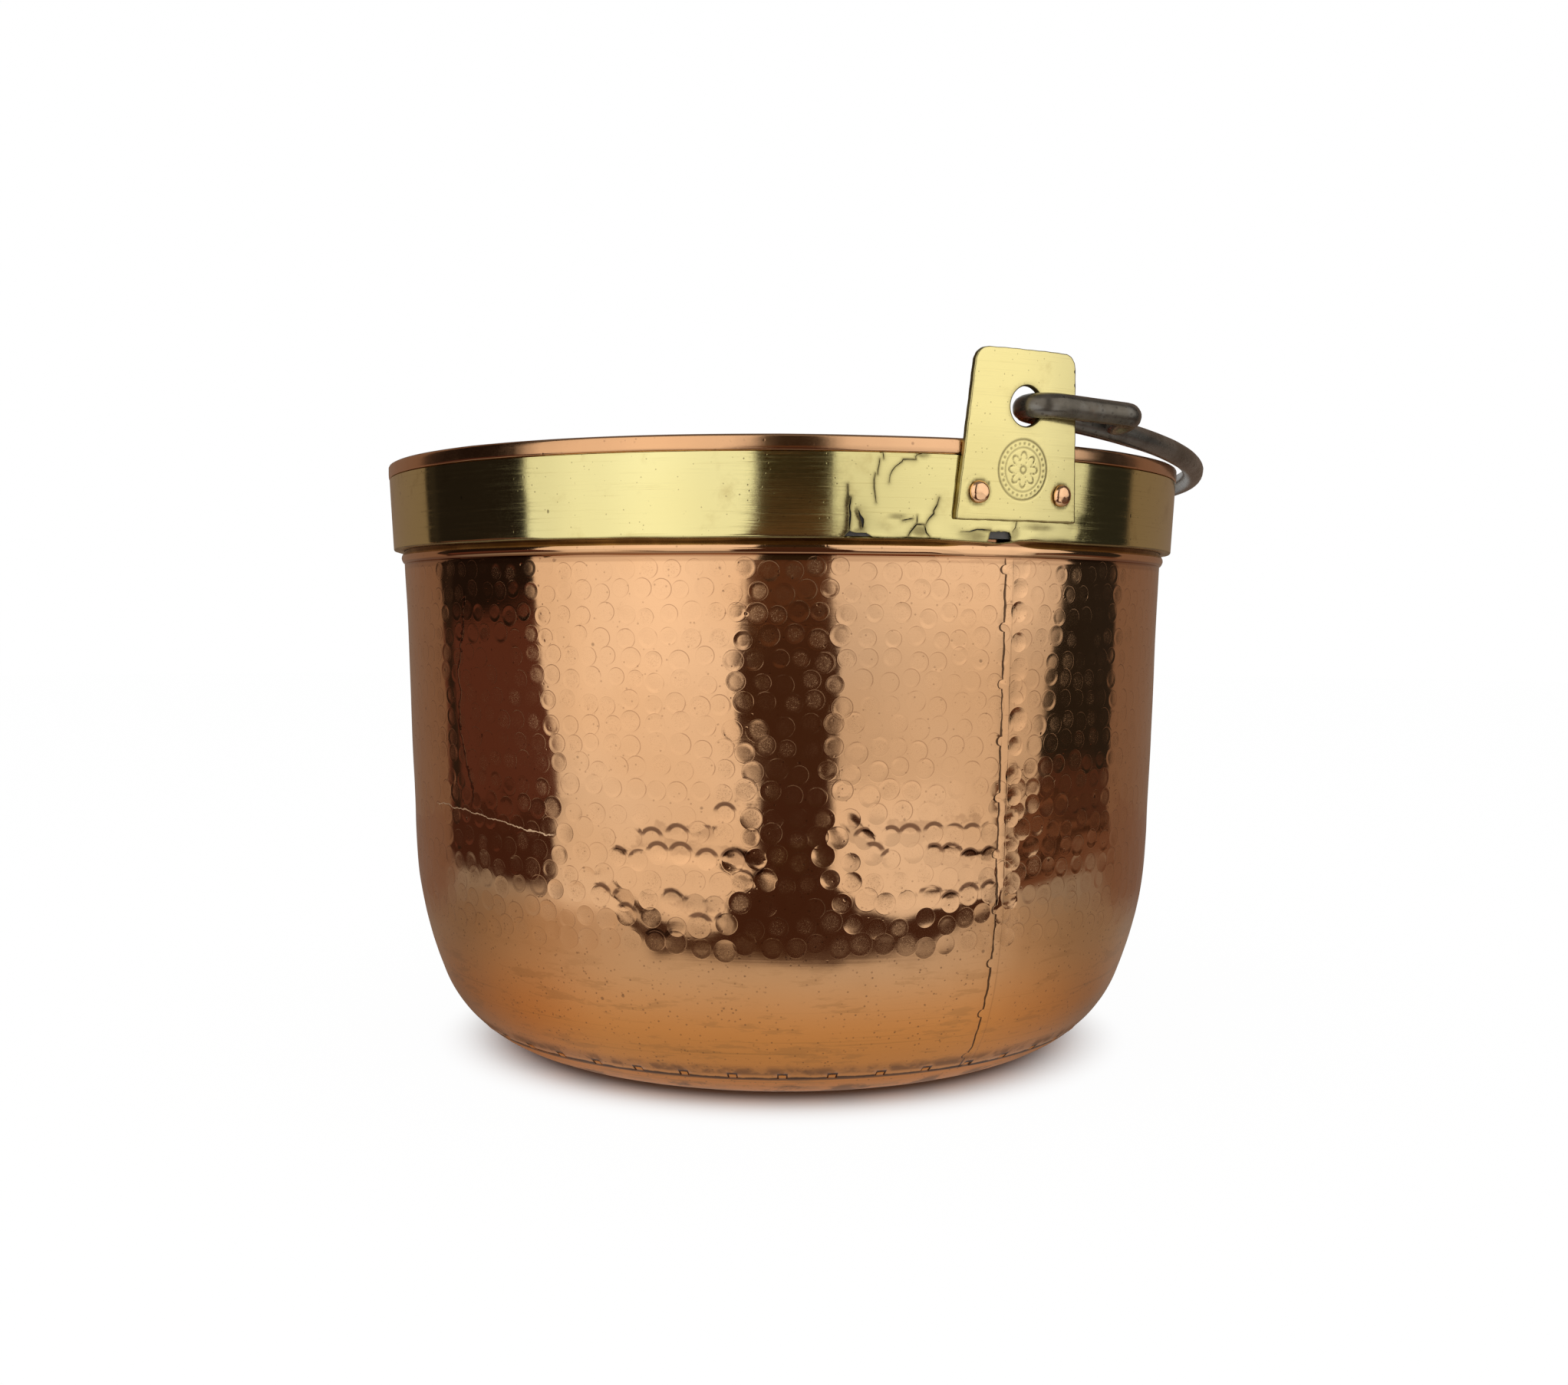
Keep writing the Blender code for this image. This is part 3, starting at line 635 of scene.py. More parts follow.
# Cracks in the thin brass: width in mm, how far their lips stand proud in mm, and their run
CRACKS = (
    (0.28, 0.05, ((-17.98, 36.4), (-17.92, 35.3), (-17.88, 33.7))),
    (0.28, 0.05, ((-18.36, 33.8), (-18.4, 31.6), (-18.55, 29.0), (-18.58, 27.1))),
    (0.30, 0.06, ((-18.83, 27.7), (-18.97, 24.9), (-18.95, 21.5), (-18.81, 18.6), (-18.67, 15.3))),
    (0.32, 0.08, ((-13.19, 36.4), (-13.85, 35.9), (-14.0, 35.0), (-13.94, 33.9), (-15.51, 33.8),
                  (-15.66, 32.8), (-16.45, 30.6), (-16.82, 28.9), (-17.07, 26.9), (-17.16, 23.9))),
    (0.24, 0.04, ((-22.08, 22.8), (-22.04, 19.1), (-21.98, 15.8))),
    (0.75, 0.26, ((-21.68, 17.3), (-21.85, 13.6), (-21.75, 9.5), (-21.82, 6.5), (-21.8, 3.9))),
    (1.25, 0.30, ((-20.79, 11.8), (-20.63, 9.9), (-20.3, 8.1), (-20.23, 4.6))),
    (0.48, 0.12, ((-10.87, 18.1), (-11.1, 15.1), (-11.53, 12.4), (-11.52, 11.1), (-12.12, 9.0),
                  (-12.55, 6.5))),
    (0.50, 0.22, ((-12.55, 6.4), (-13.66, 6.5), (-14.41, 3.2), (-14.72, 1.1))),
    (0.36, 0.10, ((-13.6, 10.0), (-13.63, 6.6))),
    (0.40, 0.10, ((-15.43, 8.0), (-14.12, 8.9))),
    (0.45, 0.15, ((-12.65, 5.8), (-12.4, 3.0), (-11.94, 1.2))),
    (0.40, 0.16, ((-7.92, 3.9), (-6.76, 4.0), (-5.69, 5.0), (-3.82, 4.9))),
    (0.32, 0.10, ((-0.62, 4.4), (-0.17, 6.2), (0.0, 9.6))),
    (0.45, 0.10, ((-0.40, 9.0), (-0.40, 20.0), (-0.40, 36.4))),
)
# Where brass is torn away and the iron hoop shows
TEARS = (
    ((-3.87, 4.3), (-2.6, 4.6), (-1.08, 4.4), (-0.82, 2.7), (-0.85, 0.7), (-2.62, 0.2), (-4.2, 0.6)),
    ((-22.42, 0.7), (-21.8, 3.3), (-21.17, 2.5), (-19.8, 2.4), (-19.04, 0.7), (-17.76, 0.4), (-16.46, 0.2),
     (-14.94, 0.8), (-12.5, 0.5), (-10.68, 0.5), (-10.6, -0.2), (-14.0, -0.35), (-18.0, -0.3), (-22.4, -0.1)),
)
# Patches gone dark and olive: centre, half width in degrees, half height in mm
STAINS = (
    (-13.2, 3.4, 1.1, 2.6), (-20.6, 2.6, 1.2, 2.0), (-6.2, 2.4, 2.0, 2.2), (-0.2, 3.8, 0.7, 3.2),
    (3.4, 6.6, 2.4, 1.6), (-13.0, 36.0, 0.8, 1.6), (-16.0, 9.6, 1.2, 1.2), (6.5, 1.2, 3.0, 1.2),
)
# The lower edge's height by place: it sags under the ear
EDGE_SAG = (
    (-24, 0), (-12, 0), (-8.5, -0.3), (-4.2, -0.9), (-2.6, -1.4), (-0.8, -0.9), (0.6, 0.1), (3, 0.2), (12, 0),
)


def band_profile():
    """Stations down the outside of the band, as rows of (run, radius, height) in metres."""
    low = brass_radius(BAND_BOTTOM)
    bend = BRASS_SHEET
    rows = [(-5.1 * MM, low - bend - 4.3 * MM, BAND_BOTTOM), (-bend, low - bend, BAND_BOTTOM)]
    for i in range(1, 9):
        turn = math.pi / 2 * i / 9
        inward = low - bend * (1 - math.sin(turn))
        rows.append(((-0.8 + 1.6 * i / 9) * MM, inward, BAND_BOTTOM + bend * (1 - math.cos(turn))))
    shoulder = LIP_EDGE - 0.6 * MM
    rows.append((bend, brass_radius(BAND_BOTTOM + bend), BAND_BOTTOM + bend))
    rows.append((36.4 * MM, brass_radius(shoulder), shoulder))
    tucked = MOUTH_RADIUS - COPPER - GAP
    rows.append((37.73 * MM, tucked, shoulder + 0.4 * MM))
    rows.append((42.83 * MM, tucked, RIM_HEIGHT - COPPER - 2 * GAP))
    return np.array(rows)


BAND_PROFILE = band_profile()


def band_point(run):
    """Radius, height and outward normal at this run above the lower edge, in metres."""
    def at(value):
        return [np.interp(value, BAND_PROFILE[:, 0], BAND_PROFILE[:, column]) for column in (1, 2)]

    radius, height = at(run)
    above, below = at(run + 0.15 * MM), at(run - 0.15 * MM)
    rise, flare = above[1] - below[1], above[0] - below[0]
    length = np.hypot(rise, flare)
    return radius, height, rise / length, -flare / length


BAND_ROWS = (
    -5.1, -3.0, -1.5, -0.8, -0.5, -0.2, 0.1, 0.4, 0.8, 1.6, 3.0, 5.0, 7.5, 10, 12.5, 15, 17.5, 20, 22.5, 25,
    27.5, 30, 32.5, 34.5, 35.8, 36.4, 37.1, 37.73, 40.2, 42.83,
)
BAND_LEFT, BAND_RIGHT = WORN_LEFT * BAND_DEGREE, WORN_RIGHT * BAND_DEGREE
BAND_COLUMNS = 325


def ragged(outline, draw):
    """A closed outline as points no further than 0.9 mm apart, each a little off its line."""
    points = []
    for a, b in zip(outline, outline[1:] + outline[:1]):
        count = max(1, int(math.hypot(b[0] - a[0], b[1] - a[1]) / 0.9))
        for i in range(count):
            x, y = a[0] + (b[0] - a[0]) * i / count, a[1] + (b[1] - a[1]) * i / count
            points.append((x + draw.uniform(-0.14, 0.14), y + draw.uniform(-0.14, 0.14)))
    return points


def band_openings():
    """Points and holes of the cracks and tears, and their lines with width and raised lip."""
    draw = np.random.default_rng(7)
    points, holes, lines = [], [], []
    for width, lift, line in CRACKS:
        flat = [(a * BAND_DEGREE, h) for a, h in line]
        lines.append((width, lift, flat))
        more, quads = ribbon(flat, width, draw)
        holes += [[len(points) + i for i in quad] for quad in quads]
        points += more
    for tear in TEARS:
        flat = [(a * BAND_DEGREE, h) for a, h in tear]
        lines.append((0.2, 0.22, flat + flat[:1]))
        more = ragged(flat, draw)
        holes.append([len(points) + i for i in range(len(more))])
        points += more
    return points, holes, lines


def band_seeds(lines):
    """Inner points of the worn stretch: an even net, more beside the cracks, and none in them."""
    left, right = BAND_LEFT, BAND_RIGHT
    seeds = [(x + 0.55 * (row % 2), height) for row, height in enumerate(np.arange(1.4, 35.9, 1.1))
             for x in np.arange(left + 0.55, right - 0.2, 1.1)]
    for height in BAND_ROWS:
        if height < 1 or height > 35.5:
            seeds += [(x, height) for x in np.arange(left + 0.7, right - 0.3, 1.4)]
    for width, _, line in lines:
        for a, b in zip(line[:-1], line[1:]):
            way = np.array([b[0] - a[0], b[1] - a[1]])
            length = max(np.linalg.norm(way), 1e-9)
            side = np.array([-way[1], way[0]]) / length
            for off in (width / 2 + 0.28, width / 2 + 0.62, width / 2 + 1.1):
                for share in np.arange(0, 1, min(1, 0.6 / length)):
                    seeds += [tuple(np.array(a) + way * share + side * off * sign) for sign in (-1, 1)]
    seeds = np.array(seeds)
    x, y = seeds.T
    seeds = seeds[(x > left + 0.3) & (x < right - 0.3) & (y > BAND_ROWS[0]) & (y < BAND_ROWS[-1] - 0.03)]
    for width, _, line in lines:
        seeds = seeds[line_distance(seeds, line) > width / 2 * 1.3 + 0.12]
    kept = {}
    for x, y in seeds:
        kept.setdefault((round(x / 0.3), round(y / 0.3)), (x, y))
    return list(kept.values())


def band_relief(degrees, height, angle, lines):
    """How far the sheet stands out, how worn it is along with painted shade at its lower edge, and how far
    its lower edge sags.
    """
    run = height * MM
    lift = 0.10 * MM * ripple(angle, run, 44 * MM, 21) + 0.022 * MM * ripple(angle, run, 11 * MM, 22)
    near = np.abs(wrapped(angle - FRONT)) * BAND_MEAN_RADIUS
    dented = (1 - smooth(near, 0.05, 0.10)) * (1 - smooth(height, 6, 14))
    lift = lift + dented * 0.22 * MM * ripple(angle, run, 8 * MM, 23)
    lift = lift * hump(height, 0.2, 2.5, 35.2, 36.2)
    wear_and_shade = np.zeros(len(height))
    worn = np.abs(degrees - (WORN_LEFT + WORN_RIGHT) / 2) < 19
    for width, rise, line in lines:
        flat = np.stack([degrees[worn] * BAND_DEGREE, height[worn]], axis=-1)
        off = np.maximum(line_distance(flat, line) - width / 2, 0)
        lift[worn] += rise * MM * np.exp(-off / 0.7) * smooth(height[worn], 0.2, 1.2)
        wear_and_shade[worn] = np.maximum(wear_and_shade[worn], 0.9 * np.exp(-off / (0.35 + width)))
    # Painted shade: the rolled lower edge and the flange under it go dark, standing for the crevice's shade
    wear_and_shade = np.where(height < 0.5, 0.75, wear_and_shade)
    for a, h, half_a, half_h in STAINS:
        reach = np.hypot((degrees - a) / half_a, (height - h) / half_h)
        wear_and_shade = np.maximum(wear_and_shade, 0.75 * (1 - smooth(reach, 0.4, 1.5)))
    sag = np.interp(degrees, *zip(*EDGE_SAG)) * MM * (1 - smooth(height, 0.5, 6.5))
    sag = np.where(degrees > WORN_RIGHT + 1, 0, sag)
    ragged_edge = 0.12 * MM * ripple(angle, np.zeros_like(angle), 21 * MM, 24)
    return lift, wear_and_shade, sag + ragged_edge * (1 - smooth(height, 0.5, 4))


def make_band():
    """The thin brass with its cracks, tears and raised lips, as one closed sheet."""
    left, right = BAND_LEFT, BAND_RIGHT
    points, holes, lines = band_openings()
    points += band_seeds(lines)
    points += [(x, height) for x in (left, right) for height in BAND_ROWS]
    outer_rows = BAND_ROWS[0], BAND_ROWS[-1]
    points += [(x, height) for x in np.arange(left + 1.4, right - 1, 1.4) for height in outer_rows]
    flat, faces = triangulate(points, [], holes)

    # The sound stretch is a plain grid that starts and ends at the worn stretch's own points
    place = {(round(x / BAND_DEGREE, 3), round(y, 3)): i for i, (x, y) in enumerate(flat)
             if abs(x - left) < 1e-3 or abs(x - right) < 1e-3}
    points = [tuple(p) for p in flat]
    columns = np.linspace(WORN_RIGHT, 360 + WORN_LEFT, BAND_COLUMNS)
    columns[-1] = WORN_LEFT
    grid = []
    for degree in columns.tolist():
        for height in BAND_ROWS:
            key = (round(degree, 3), round(float(height), 3))
            if key not in place:
                place[key] = len(points)
                points.append((degree * BAND_DEGREE, float(height)))
            grid.append(place[key])
    grid = np.array(grid).reshape(BAND_COLUMNS, -1)
    corners = (grid[:-1, :-1], grid[1:, :-1], grid[1:, 1:], grid[:-1, 1:])
    faces += [tuple(face) for face in np.stack(corners, axis=-1).reshape(-1, 4).tolist()]

    points = np.array(points)
    degrees = points[:, 0] / BAND_DEGREE
    angle = FRONT + np.radians(degrees)
    lift, wear_and_shade, sag = band_relief(degrees, points[:, 1], angle, lines)
    radius, height, out, up = band_point(points[:, 1] * MM)

    def sheet(depth):
        return ring(radius + (lift - depth) * out, height + (lift - depth) * up + sag, angle)

    obj = plate("brass_cladding", sheet(0.0), sheet(BRASS_SHEET), faces)
    point_attribute(obj.data, "wear_and_shade", np.concatenate([wear_and_shade, np.ones_like(wear_and_shade)]))
    shade(obj, 45)
    return obj


# Ears

EAR_LOW, EAR_HIGH = RIM_HEIGHT - 0.0353, RIM_HEIGHT + 0.0390
EAR_LEAN = (MOUTH_RADIUS - brass_radius(EAR_LOW)) / (LIP_EDGE - EAR_LOW)
EAR_HALF_LOW, EAR_HALF_HIGH = 33, 27
EAR_HOLE_RADIUS = 8.5
HOLE_HEIGHT = RIM_HEIGHT + 0.0145
MARK_HEIGHT = 0.2901
MARK_RADIUS = 13.5
EAR_HOLE, EAR_MARK = np.array([0, HOLE_HEIGHT / MM]), np.array([0, MARK_HEIGHT / MM])
EAR_BEVELS = ((0.0, 0.62), (0.10, 0.36), (0.28, 0.15), (0.55, 0.03), (0.85, 0.0))
RIVET_HEIGHT = RIM_HEIGHT - 0.0232


def ear_radius(height):
    return brass_radius(EAR_LOW) + GAP + EAR_LEAN * (height - EAR_LOW)


def rounded_corner(before, corner, after, radius, count):
    incoming = (Vector(corner) - Vector(before)).normalized()
    outgoing = (Vector(after) - Vector(corner)).normalized()
    half = incoming.angle(outgoing) / 2
    start = Vector(corner) - incoming * radius * math.tan(half)
    centre = start + Vector((-incoming.y, incoming.x)) * radius
    return [centre + Matrix.Rotation(2 * half * i / count, 2) @ (start - centre) for i in range(count + 1)]


def ear_outline():
    """The blank's outline in mm, counter-clockwise, with points no further than 2 mm apart."""
    low, high = EAR_LOW / MM, EAR_HIGH / MM
    corners = [(-EAR_HALF_LOW, low), (EAR_HALF_LOW, low), (EAR_HALF_HIGH, high), (-EAR_HALF_HIGH, high)]
    points = []
    for i, corner in enumerate(corners):
        radius, count = ((1.2, 4), (1.2, 4), (7.0, 12), (7.0, 12))[i]
        points += rounded_corner(corners[i - 1], corner, corners[(i + 1) % 4], radius, count)
    even = []
    for a, b in zip(points, points[1:] + points[:1]):
        count = max(1, round((b - a).length / 2))
        even += [a + (b - a) * i / count for i in range(count)]
    return np.array(even)


def mark_relief(points):
    """A punched ring round a plain rosette, as depth in mm."""
    x, y = points[:, 0], points[:, 1] - MARK_HEIGHT / MM
    off, turn = np.hypot(x, y), np.arctan2(y, x)
    rings = bell(off, 13.1, 0.42) + 0.7 * bell(off, 9.6, 0.34)
    dots = smooth(np.cos(turn * 28), 0.1, 0.8) * bell(off, 11.35, 0.62, 4)
    petals = bell(off, 3.1 + 4.6 * np.abs(np.cos(turn * 4)) ** 0.7, 0.42) * smooth(off, 1.9, 2.8)
    return 0.2 * np.clip(rings + 0.8 * dots + petals + bell(off, 1.5, 0.36), 0, 1)


def ear_sheet(seed):
    """The plate's flat points with their drop at its worn edges, both in mm, and its faces."""
    outline = ear_outline()
    way = np.roll(outline, -1, axis=0) - np.roll(outline, 1, axis=0)
    inward = np.stack([-way[:, 1], way[:, 0]], axis=-1)
    inward /= np.linalg.norm(inward, axis=1)[:, None]
    step = np.arange(len(outline))
    worn = 0.10 * np.sin(step * 1.7 + seed) + 0.08 * np.sin(step * 0.61)
    outline = outline + inward * (0.14 + worn[:, None] * 0.6)
    around = TAU * np.arange(72) / 72
    rim = np.stack([np.cos(around), np.sin(around)], axis=-1)
    slack = 0.35 * bell(around, math.pi / 2, 0.7)

    points, drops, starts = [], [], []
    for loop_at in (
        lambda off: outline + inward * off,
        lambda off: EAR_HOLE + rim * (EAR_HOLE_RADIUS + slack + off)[:, None],
    ):
        starts.append(len(points))
        for off, drop in EAR_BEVELS:
            points += [tuple(p) for p in loop_at(off)]
            drops += [drop] * (len(points) - len(drops))
    edges = [(i, (i + 1) % len(outline)) for i in range(len(outline))]
    holes = [list(range(starts[1], starts[1] + len(around)))]
    for off in np.arange(0.5, MARK_RADIUS + 1.3, 0.42):
        count = 168 if off > 9 else max(8, int(TAU * off / 0.5))
        turns = TAU * np.arange(count) / count
        points += [tuple(p) for p in EAR_MARK + off * np.stack([np.cos(turns), np.sin(turns)], axis=-1)]

    low, high = EAR_LOW / MM, EAR_HIGH / MM
    seeds = np.array([(x + 0.6 * (row % 2), y) for row, y in enumerate(np.arange(low, high, 1.15))
                      for x in np.arange(-EAR_HALF_LOW, EAR_HALF_LOW, 1.2)])
    inside = line_distance(seeds, np.concatenate([outline, outline[:1]])) > 1.35
    half = EAR_HALF_LOW - (EAR_HALF_LOW - EAR_HALF_HIGH) * (seeds[:, 1] - low) / (high - low)
    inside &= np.abs(seeds[:, 0]) < half - 1
    inside &= np.linalg.norm(seeds - EAR_HOLE, axis=1) > EAR_HOLE_RADIUS + 1.7
    inside &= np.linalg.norm(seeds - EAR_MARK, axis=1) > MARK_RADIUS + 1.5
    for side in (-1, 1):
        off = seeds - np.array((side * 20, high - 7))
        inside &= ~((np.linalg.norm(off, axis=1) > 5.6) & (off[:, 1] > 0) & (off[:, 0] * side > 0))
    points += [tuple(p) for p in seeds[inside]]
    drops += [0.0] * (len(points) - len(drops))

    flat, faces = triangulate(points, edges, holes)
    lookup = {(round(x, 2), round(y, 2)): drop for (x, y), drop in zip(points, drops)}
    drop = np.array([lookup.get((round(float(x), 2), round(float(y), 2)), 0.0) for x, y in flat])
    # What lies outside the blank's outline falls away
    kept = [face for face in faces if inside_outline(np.mean([flat[i] for i in face], axis=0), outline)]
    used, faces = renumbered(kept)
    return flat[used], drop[used], faces


def make_ear(name, turn, seed):
    """A brass plate with worn edges, a worn hole, a punched rosette and painted shadow round its rivets,
    rolled to the band's curve.
    """
    flat, drop, faces = ear_sheet(seed)
    x, h = flat[:, 0] * MM, flat[:, 1] * MM
    depth = drop + mark_relief(flat)
    wear_and_shade = np.clip(mark_relief(flat) / 0.2, 0, 1) + np.clip(drop / 0.5, 0, 1)
    for side, middle, pressed in ((-1, -24.2, 1), (1, 23.0, 0.5)):
        off = np.hypot(flat[:, 0] - middle, flat[:, 1] - RIVET_HEIGHT / MM)
        depth = depth + 0.14 * bell(off, 6.2, 0.5) * pressed
        # Painted shadow: a dark ring round each rivet head
        off = np.hypot(flat[:, 0] - side * 22.5, flat[:, 1] - RIVET_HEIGHT / MM)
        wear_and_shade = wear_and_shade + 0.95 * bell(off, 5.3, 0.75)
    off_hole = np.linalg.norm(flat - EAR_HOLE, axis=1) - EAR_HOLE_RADIUS
    wear_and_shade = wear_and_shade + 0.8 * np.exp(-np.maximum(off_hole, 0) / 0.8)
    bend = 0.10 * MM * ripple(x / 0.2, h, 19 * MM, seed) + 0.03 * MM * ripple(x / 0.2, h, 7 * MM, seed + 1)
    turned = np.array(Matrix.Rotation(turn, 3, "Z")).T

    def face_at(out):
        r = ear_radius(h) + bend + out
        return np.stack([x, -np.sqrt(np.maximum(r * r - x * x, 0)), h], axis=-1) @ turned

    front, back = face_at(EAR_PLATE - depth * MM), face_at(np.minimum(drop, 0.3) * 0.5 * MM)
    obj = plate(name, front, back, faces)
    point_attribute(obj.data, "wear_and_shade", np.concatenate([np.clip(wear_and_shade, 0, 1)] * 2))
    shade(obj, 35)
    return obj


def inside_outline(point, outline):
    """Is the point inside the polygon?"""
    x, y = outline[:, 0], outline[:, 1]
    ahead_x, ahead_y = np.roll(x, -1), np.roll(y, -1)
    spans = (y > point[1]) != (ahead_y > point[1])
    with np.errstate(divide="ignore", invalid="ignore"):
        cross = x + (point[1] - y) * (ahead_x - x) / (ahead_y - y)
    return bool(np.count_nonzero(spans & (point[0] < cross)) % 2)


# Rivets

RIVET_SPREAD = 0.0450
RIVET_SHANK = 1.6
RIVET_SIDES = 40
# Radius and height in mm, from the top of the head down to its seat on the ear
RIVET_HEAD = (
    (0, 3.25), (0.9, 3.24), (1.8, 3.18), (2.6, 3.06), (3.25, 2.84), (3.8, 2.50), (4.3, 2.02), (4.65, 1.5),
    (4.88, 0.95), (4.95, 0.5), (4.8, 0.28), (RIVET_SHANK, 0.24),
)
# The same for its tail, from the seat inside the wall
RIVET_TAIL = ((RIVET_SHANK, 0), (4.3, 0), (4.5, -0.3), (4.2, -0.9), (3.2, -1.5), (1.8, -1.75), (0, -1.8))


def rivet_place(side):
    """Frame of a front rivet: its Z runs out through the ear, from the ear's outer face."""
    radius = ear_radius(RIVET_HEIGHT) + EAR_PLATE
    azimuth = FRONT + side * math.asin(RIVET_SPREAD / 2 / radius)
    seat = Matrix.Rotation(azimuth, 4, "Z") @ Matrix.Translation((radius, 0, RIVET_HEIGHT))
    return seat @ Matrix.Rotation(math.radians(90) + math.atan(EAR_LEAN), 4, "Y")


def make_rivet(name, place, seed):
    """A hammered head, its shank, and the low tail inside the wall."""
    draw = np.random.default_rng(seed)
    grip = (ear_radius(RIVET_HEIGHT) + EAR_PLATE - wall_radius(RIVET_HEIGHT) + COPPER) / MM + 0.3
    profile = [*RIVET_HEAD, *((r, z - grip) for r, z in RIVET_TAIL)]
    facets = [(draw.uniform(0, TAU), draw.uniform(0.05, 0.24), draw.uniform(2.45, 2.8)) for _ in range(5)]
    verts, faces = [], []
    for r, z in profile:
        for i in range(1 if r == 0 else RIVET_SIDES):
            turn = TAU * i / RIVET_SIDES
            x, y, top = r * math.cos(turn), r * math.sin(turn), z
            if z > 0.3:
                for azimuth, tilt, reach in facets:
                    out = x * math.cos(azimuth) + y * math.sin(azimuth)
                    top = min(top, reach + 0.75 - tilt * out * 0.8)
                x *= 1 + 0.02 * math.sin(3 * turn + seed)
                y *= 1 + 0.03 * math.sin(2 * turn + 2 * seed)
            verts.append((x * MM, y * MM, max(top, 0.24 if z > 0 else top) * MM))
    starts = [0]
    for r, _ in profile:
        starts.append(starts[-1] + (1 if r == 0 else RIVET_SIDES))
    for row in range(len(profile) - 1):
        on, below = profile[row][0] > 0, profile[row + 1][0] > 0
        for i in range(RIVET_SIDES):
            j = (i + 1) % RIVET_SIDES
            a, b = starts[row] + on * i, starts[row] + on * j
            c, d = starts[row + 1] + below * j, starts[row + 1] + below * i
            faces.append(tuple(dict.fromkeys((a, d, c, b))))
    obj = object_from(name, [place @ Vector(v) for v in verts], faces)
    shade(obj, 50)
    return obj


# Bail, drawn in its own plane as (reach, across) pairs in metres

ROD_RADIUS = 0.0055
BAIL_REACH = MOUTH_RADIUS + 0.0105
BAIL_FULLNESS = 2.13
EYE_WIDTH = 0.0200
EYE_LENGTH = 0.0525
EYE_CLOSING_RADIUS = 0.0078
EYE_SPRING = 0.05
BAIL_SIDES = 28
HINGE = Vector((0.0023, 0, HOLE_HEIGHT + 0.0004))
BAIL_HALF = ear_radius(HOLE_HEIGHT) + EAR_PLATE / 2 - EYE_WIDTH / 2


def even_steps(start, end, count):
    return [start + (end - start) * i / count for i in range(count + 1)]


def bail_half_route():
    """From an eye's tip, round the closing bend and the turn through the ear, up the arch to its crown."""
    leg = BAIL_HALF + EYE_WIDTH
    arch_beside = BAIL_HALF * (1 - (EYE_LENGTH / BAIL_REACH) ** BAIL_FULLNESS) ** (1 / BAIL_FULLNESS)
    tip = arch_beside + ROD_RADIUS + 2 * GAP

    def arc(centre, radius, start, end, count):
        return [(centre[0] + radius * math.sin(a), centre[1] + radius * math.cos(a))
                for a in even_steps(start, end, count)]

    closing = (EYE_LENGTH - EYE_CLOSING_RADIUS, leg - EYE_CLOSING_RADIUS)
    turning = (EYE_WIDTH / 2, BAIL_HALF + EYE_WIDTH / 2)
    route = [(EYE_LENGTH, across) for across in even_steps(tip, closing[1], 5)[:-1]]
    route += arc(closing, EYE_CLOSING_RADIUS, math.pi / 2, 0, 14)
    route += [(reach, leg) for reach in even_steps(closing[0], turning[0], 16)[1:-1]]
    route += arc(turning, EYE_WIDTH / 2, 0, -math.pi, 26)
    first = math.asin((EYE_WIDTH / BAIL_REACH) ** (BAIL_FULLNESS / 2))
    route += [(reach, BAIL_HALF) for reach in even_steps(EYE_WIDTH / 2, EYE_WIDTH, 5)[1:-1]]
    for angle in even_steps(first, math.pi / 2, 110):
        route.append((
            BAIL_REACH * math.sin(angle) ** (2 / BAIL_FULLNESS),
            BAIL_HALF * max(math.cos(angle), 0) ** (2 / BAIL_FULLNESS),
        ))
    return route


def bail_tilt():
    """The tilt at which the frame's own bail rests, from its crown."""
    low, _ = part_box("bail")
    return math.asin((HINGE.z - ROD_RADIUS - low.z) / BAIL_REACH)


def make_bail():
    """One forged rod: round, uneven under the hammer, thinned and rounded at its tips."""
    half = bail_half_route()
    route = np.array([(reach, -across) for reach, across in half] + half[-2::-1])
    ahead = np.gradient(route, axis=0)
    ahead /= np.linalg.norm(ahead, axis=1)[:, None]
    side = np.stack([-ahead[:, 1], ahead[:, 0]], axis=-1)
    length = np.concatenate([[0], np.cumsum(np.linalg.norm(np.diff(route, axis=0), axis=1))])
    total = length[-1]
    turns = TAU * np.arange(BAIL_SIDES) / BAIL_SIDES
    tilt = Matrix.Translation(HINGE) @ Matrix.Rotation(bail_tilt(), 4, "Y")
    verts = []
    noise_at = ripple(turns[None, :], length[:, None] * 0.5, 24 * MM, 31)
    flats = ripple(turns[None, :], length[:, None] * 0.5, 60 * MM, 32)
    for i, (reach, across) in enumerate(route):
        end = min(length[i], total - length[i])
        round_tip = math.sqrt(max(0.0, 1 - (1 - min(end / 0.0036, 1)) ** 2))
        size = ROD_RADIUS * (0.82 + 0.18 * min(end / 0.016, 1)) * max(round_tip, 0.12)
        for j, turn in enumerate(turns):
            r = size * (1 - 0.035 * abs(noise_at[i, j]) - 0.025 * abs(flats[i, j]))
            out = side[i] * math.cos(turn) * r
            past_ear = float(smooth(abs(across), BAIL_HALF + 0.006, BAIL_HALF + EYE_WIDTH))
            sprung = EYE_SPRING * max(reach, 0) * past_ear
            point = Vector((reach + out[0], across + out[1], r * math.sin(turn) + sprung))
            verts.append(tilt @ point)
    obj = object_from("forged_bail", verts, tube_faces(len(route), BAIL_SIDES))
    shade(obj, 60)
    return obj


# Bottom pan

PAN_COLUMNS = 276
PAN_FLAT_RADII = (0.004, 0.02, 0.04, 0.06, 0.08, 0.1, 0.115)
PAN_INSIDE_RADII = (0.1, 0.075, 0.05, 0.025, 0.004)
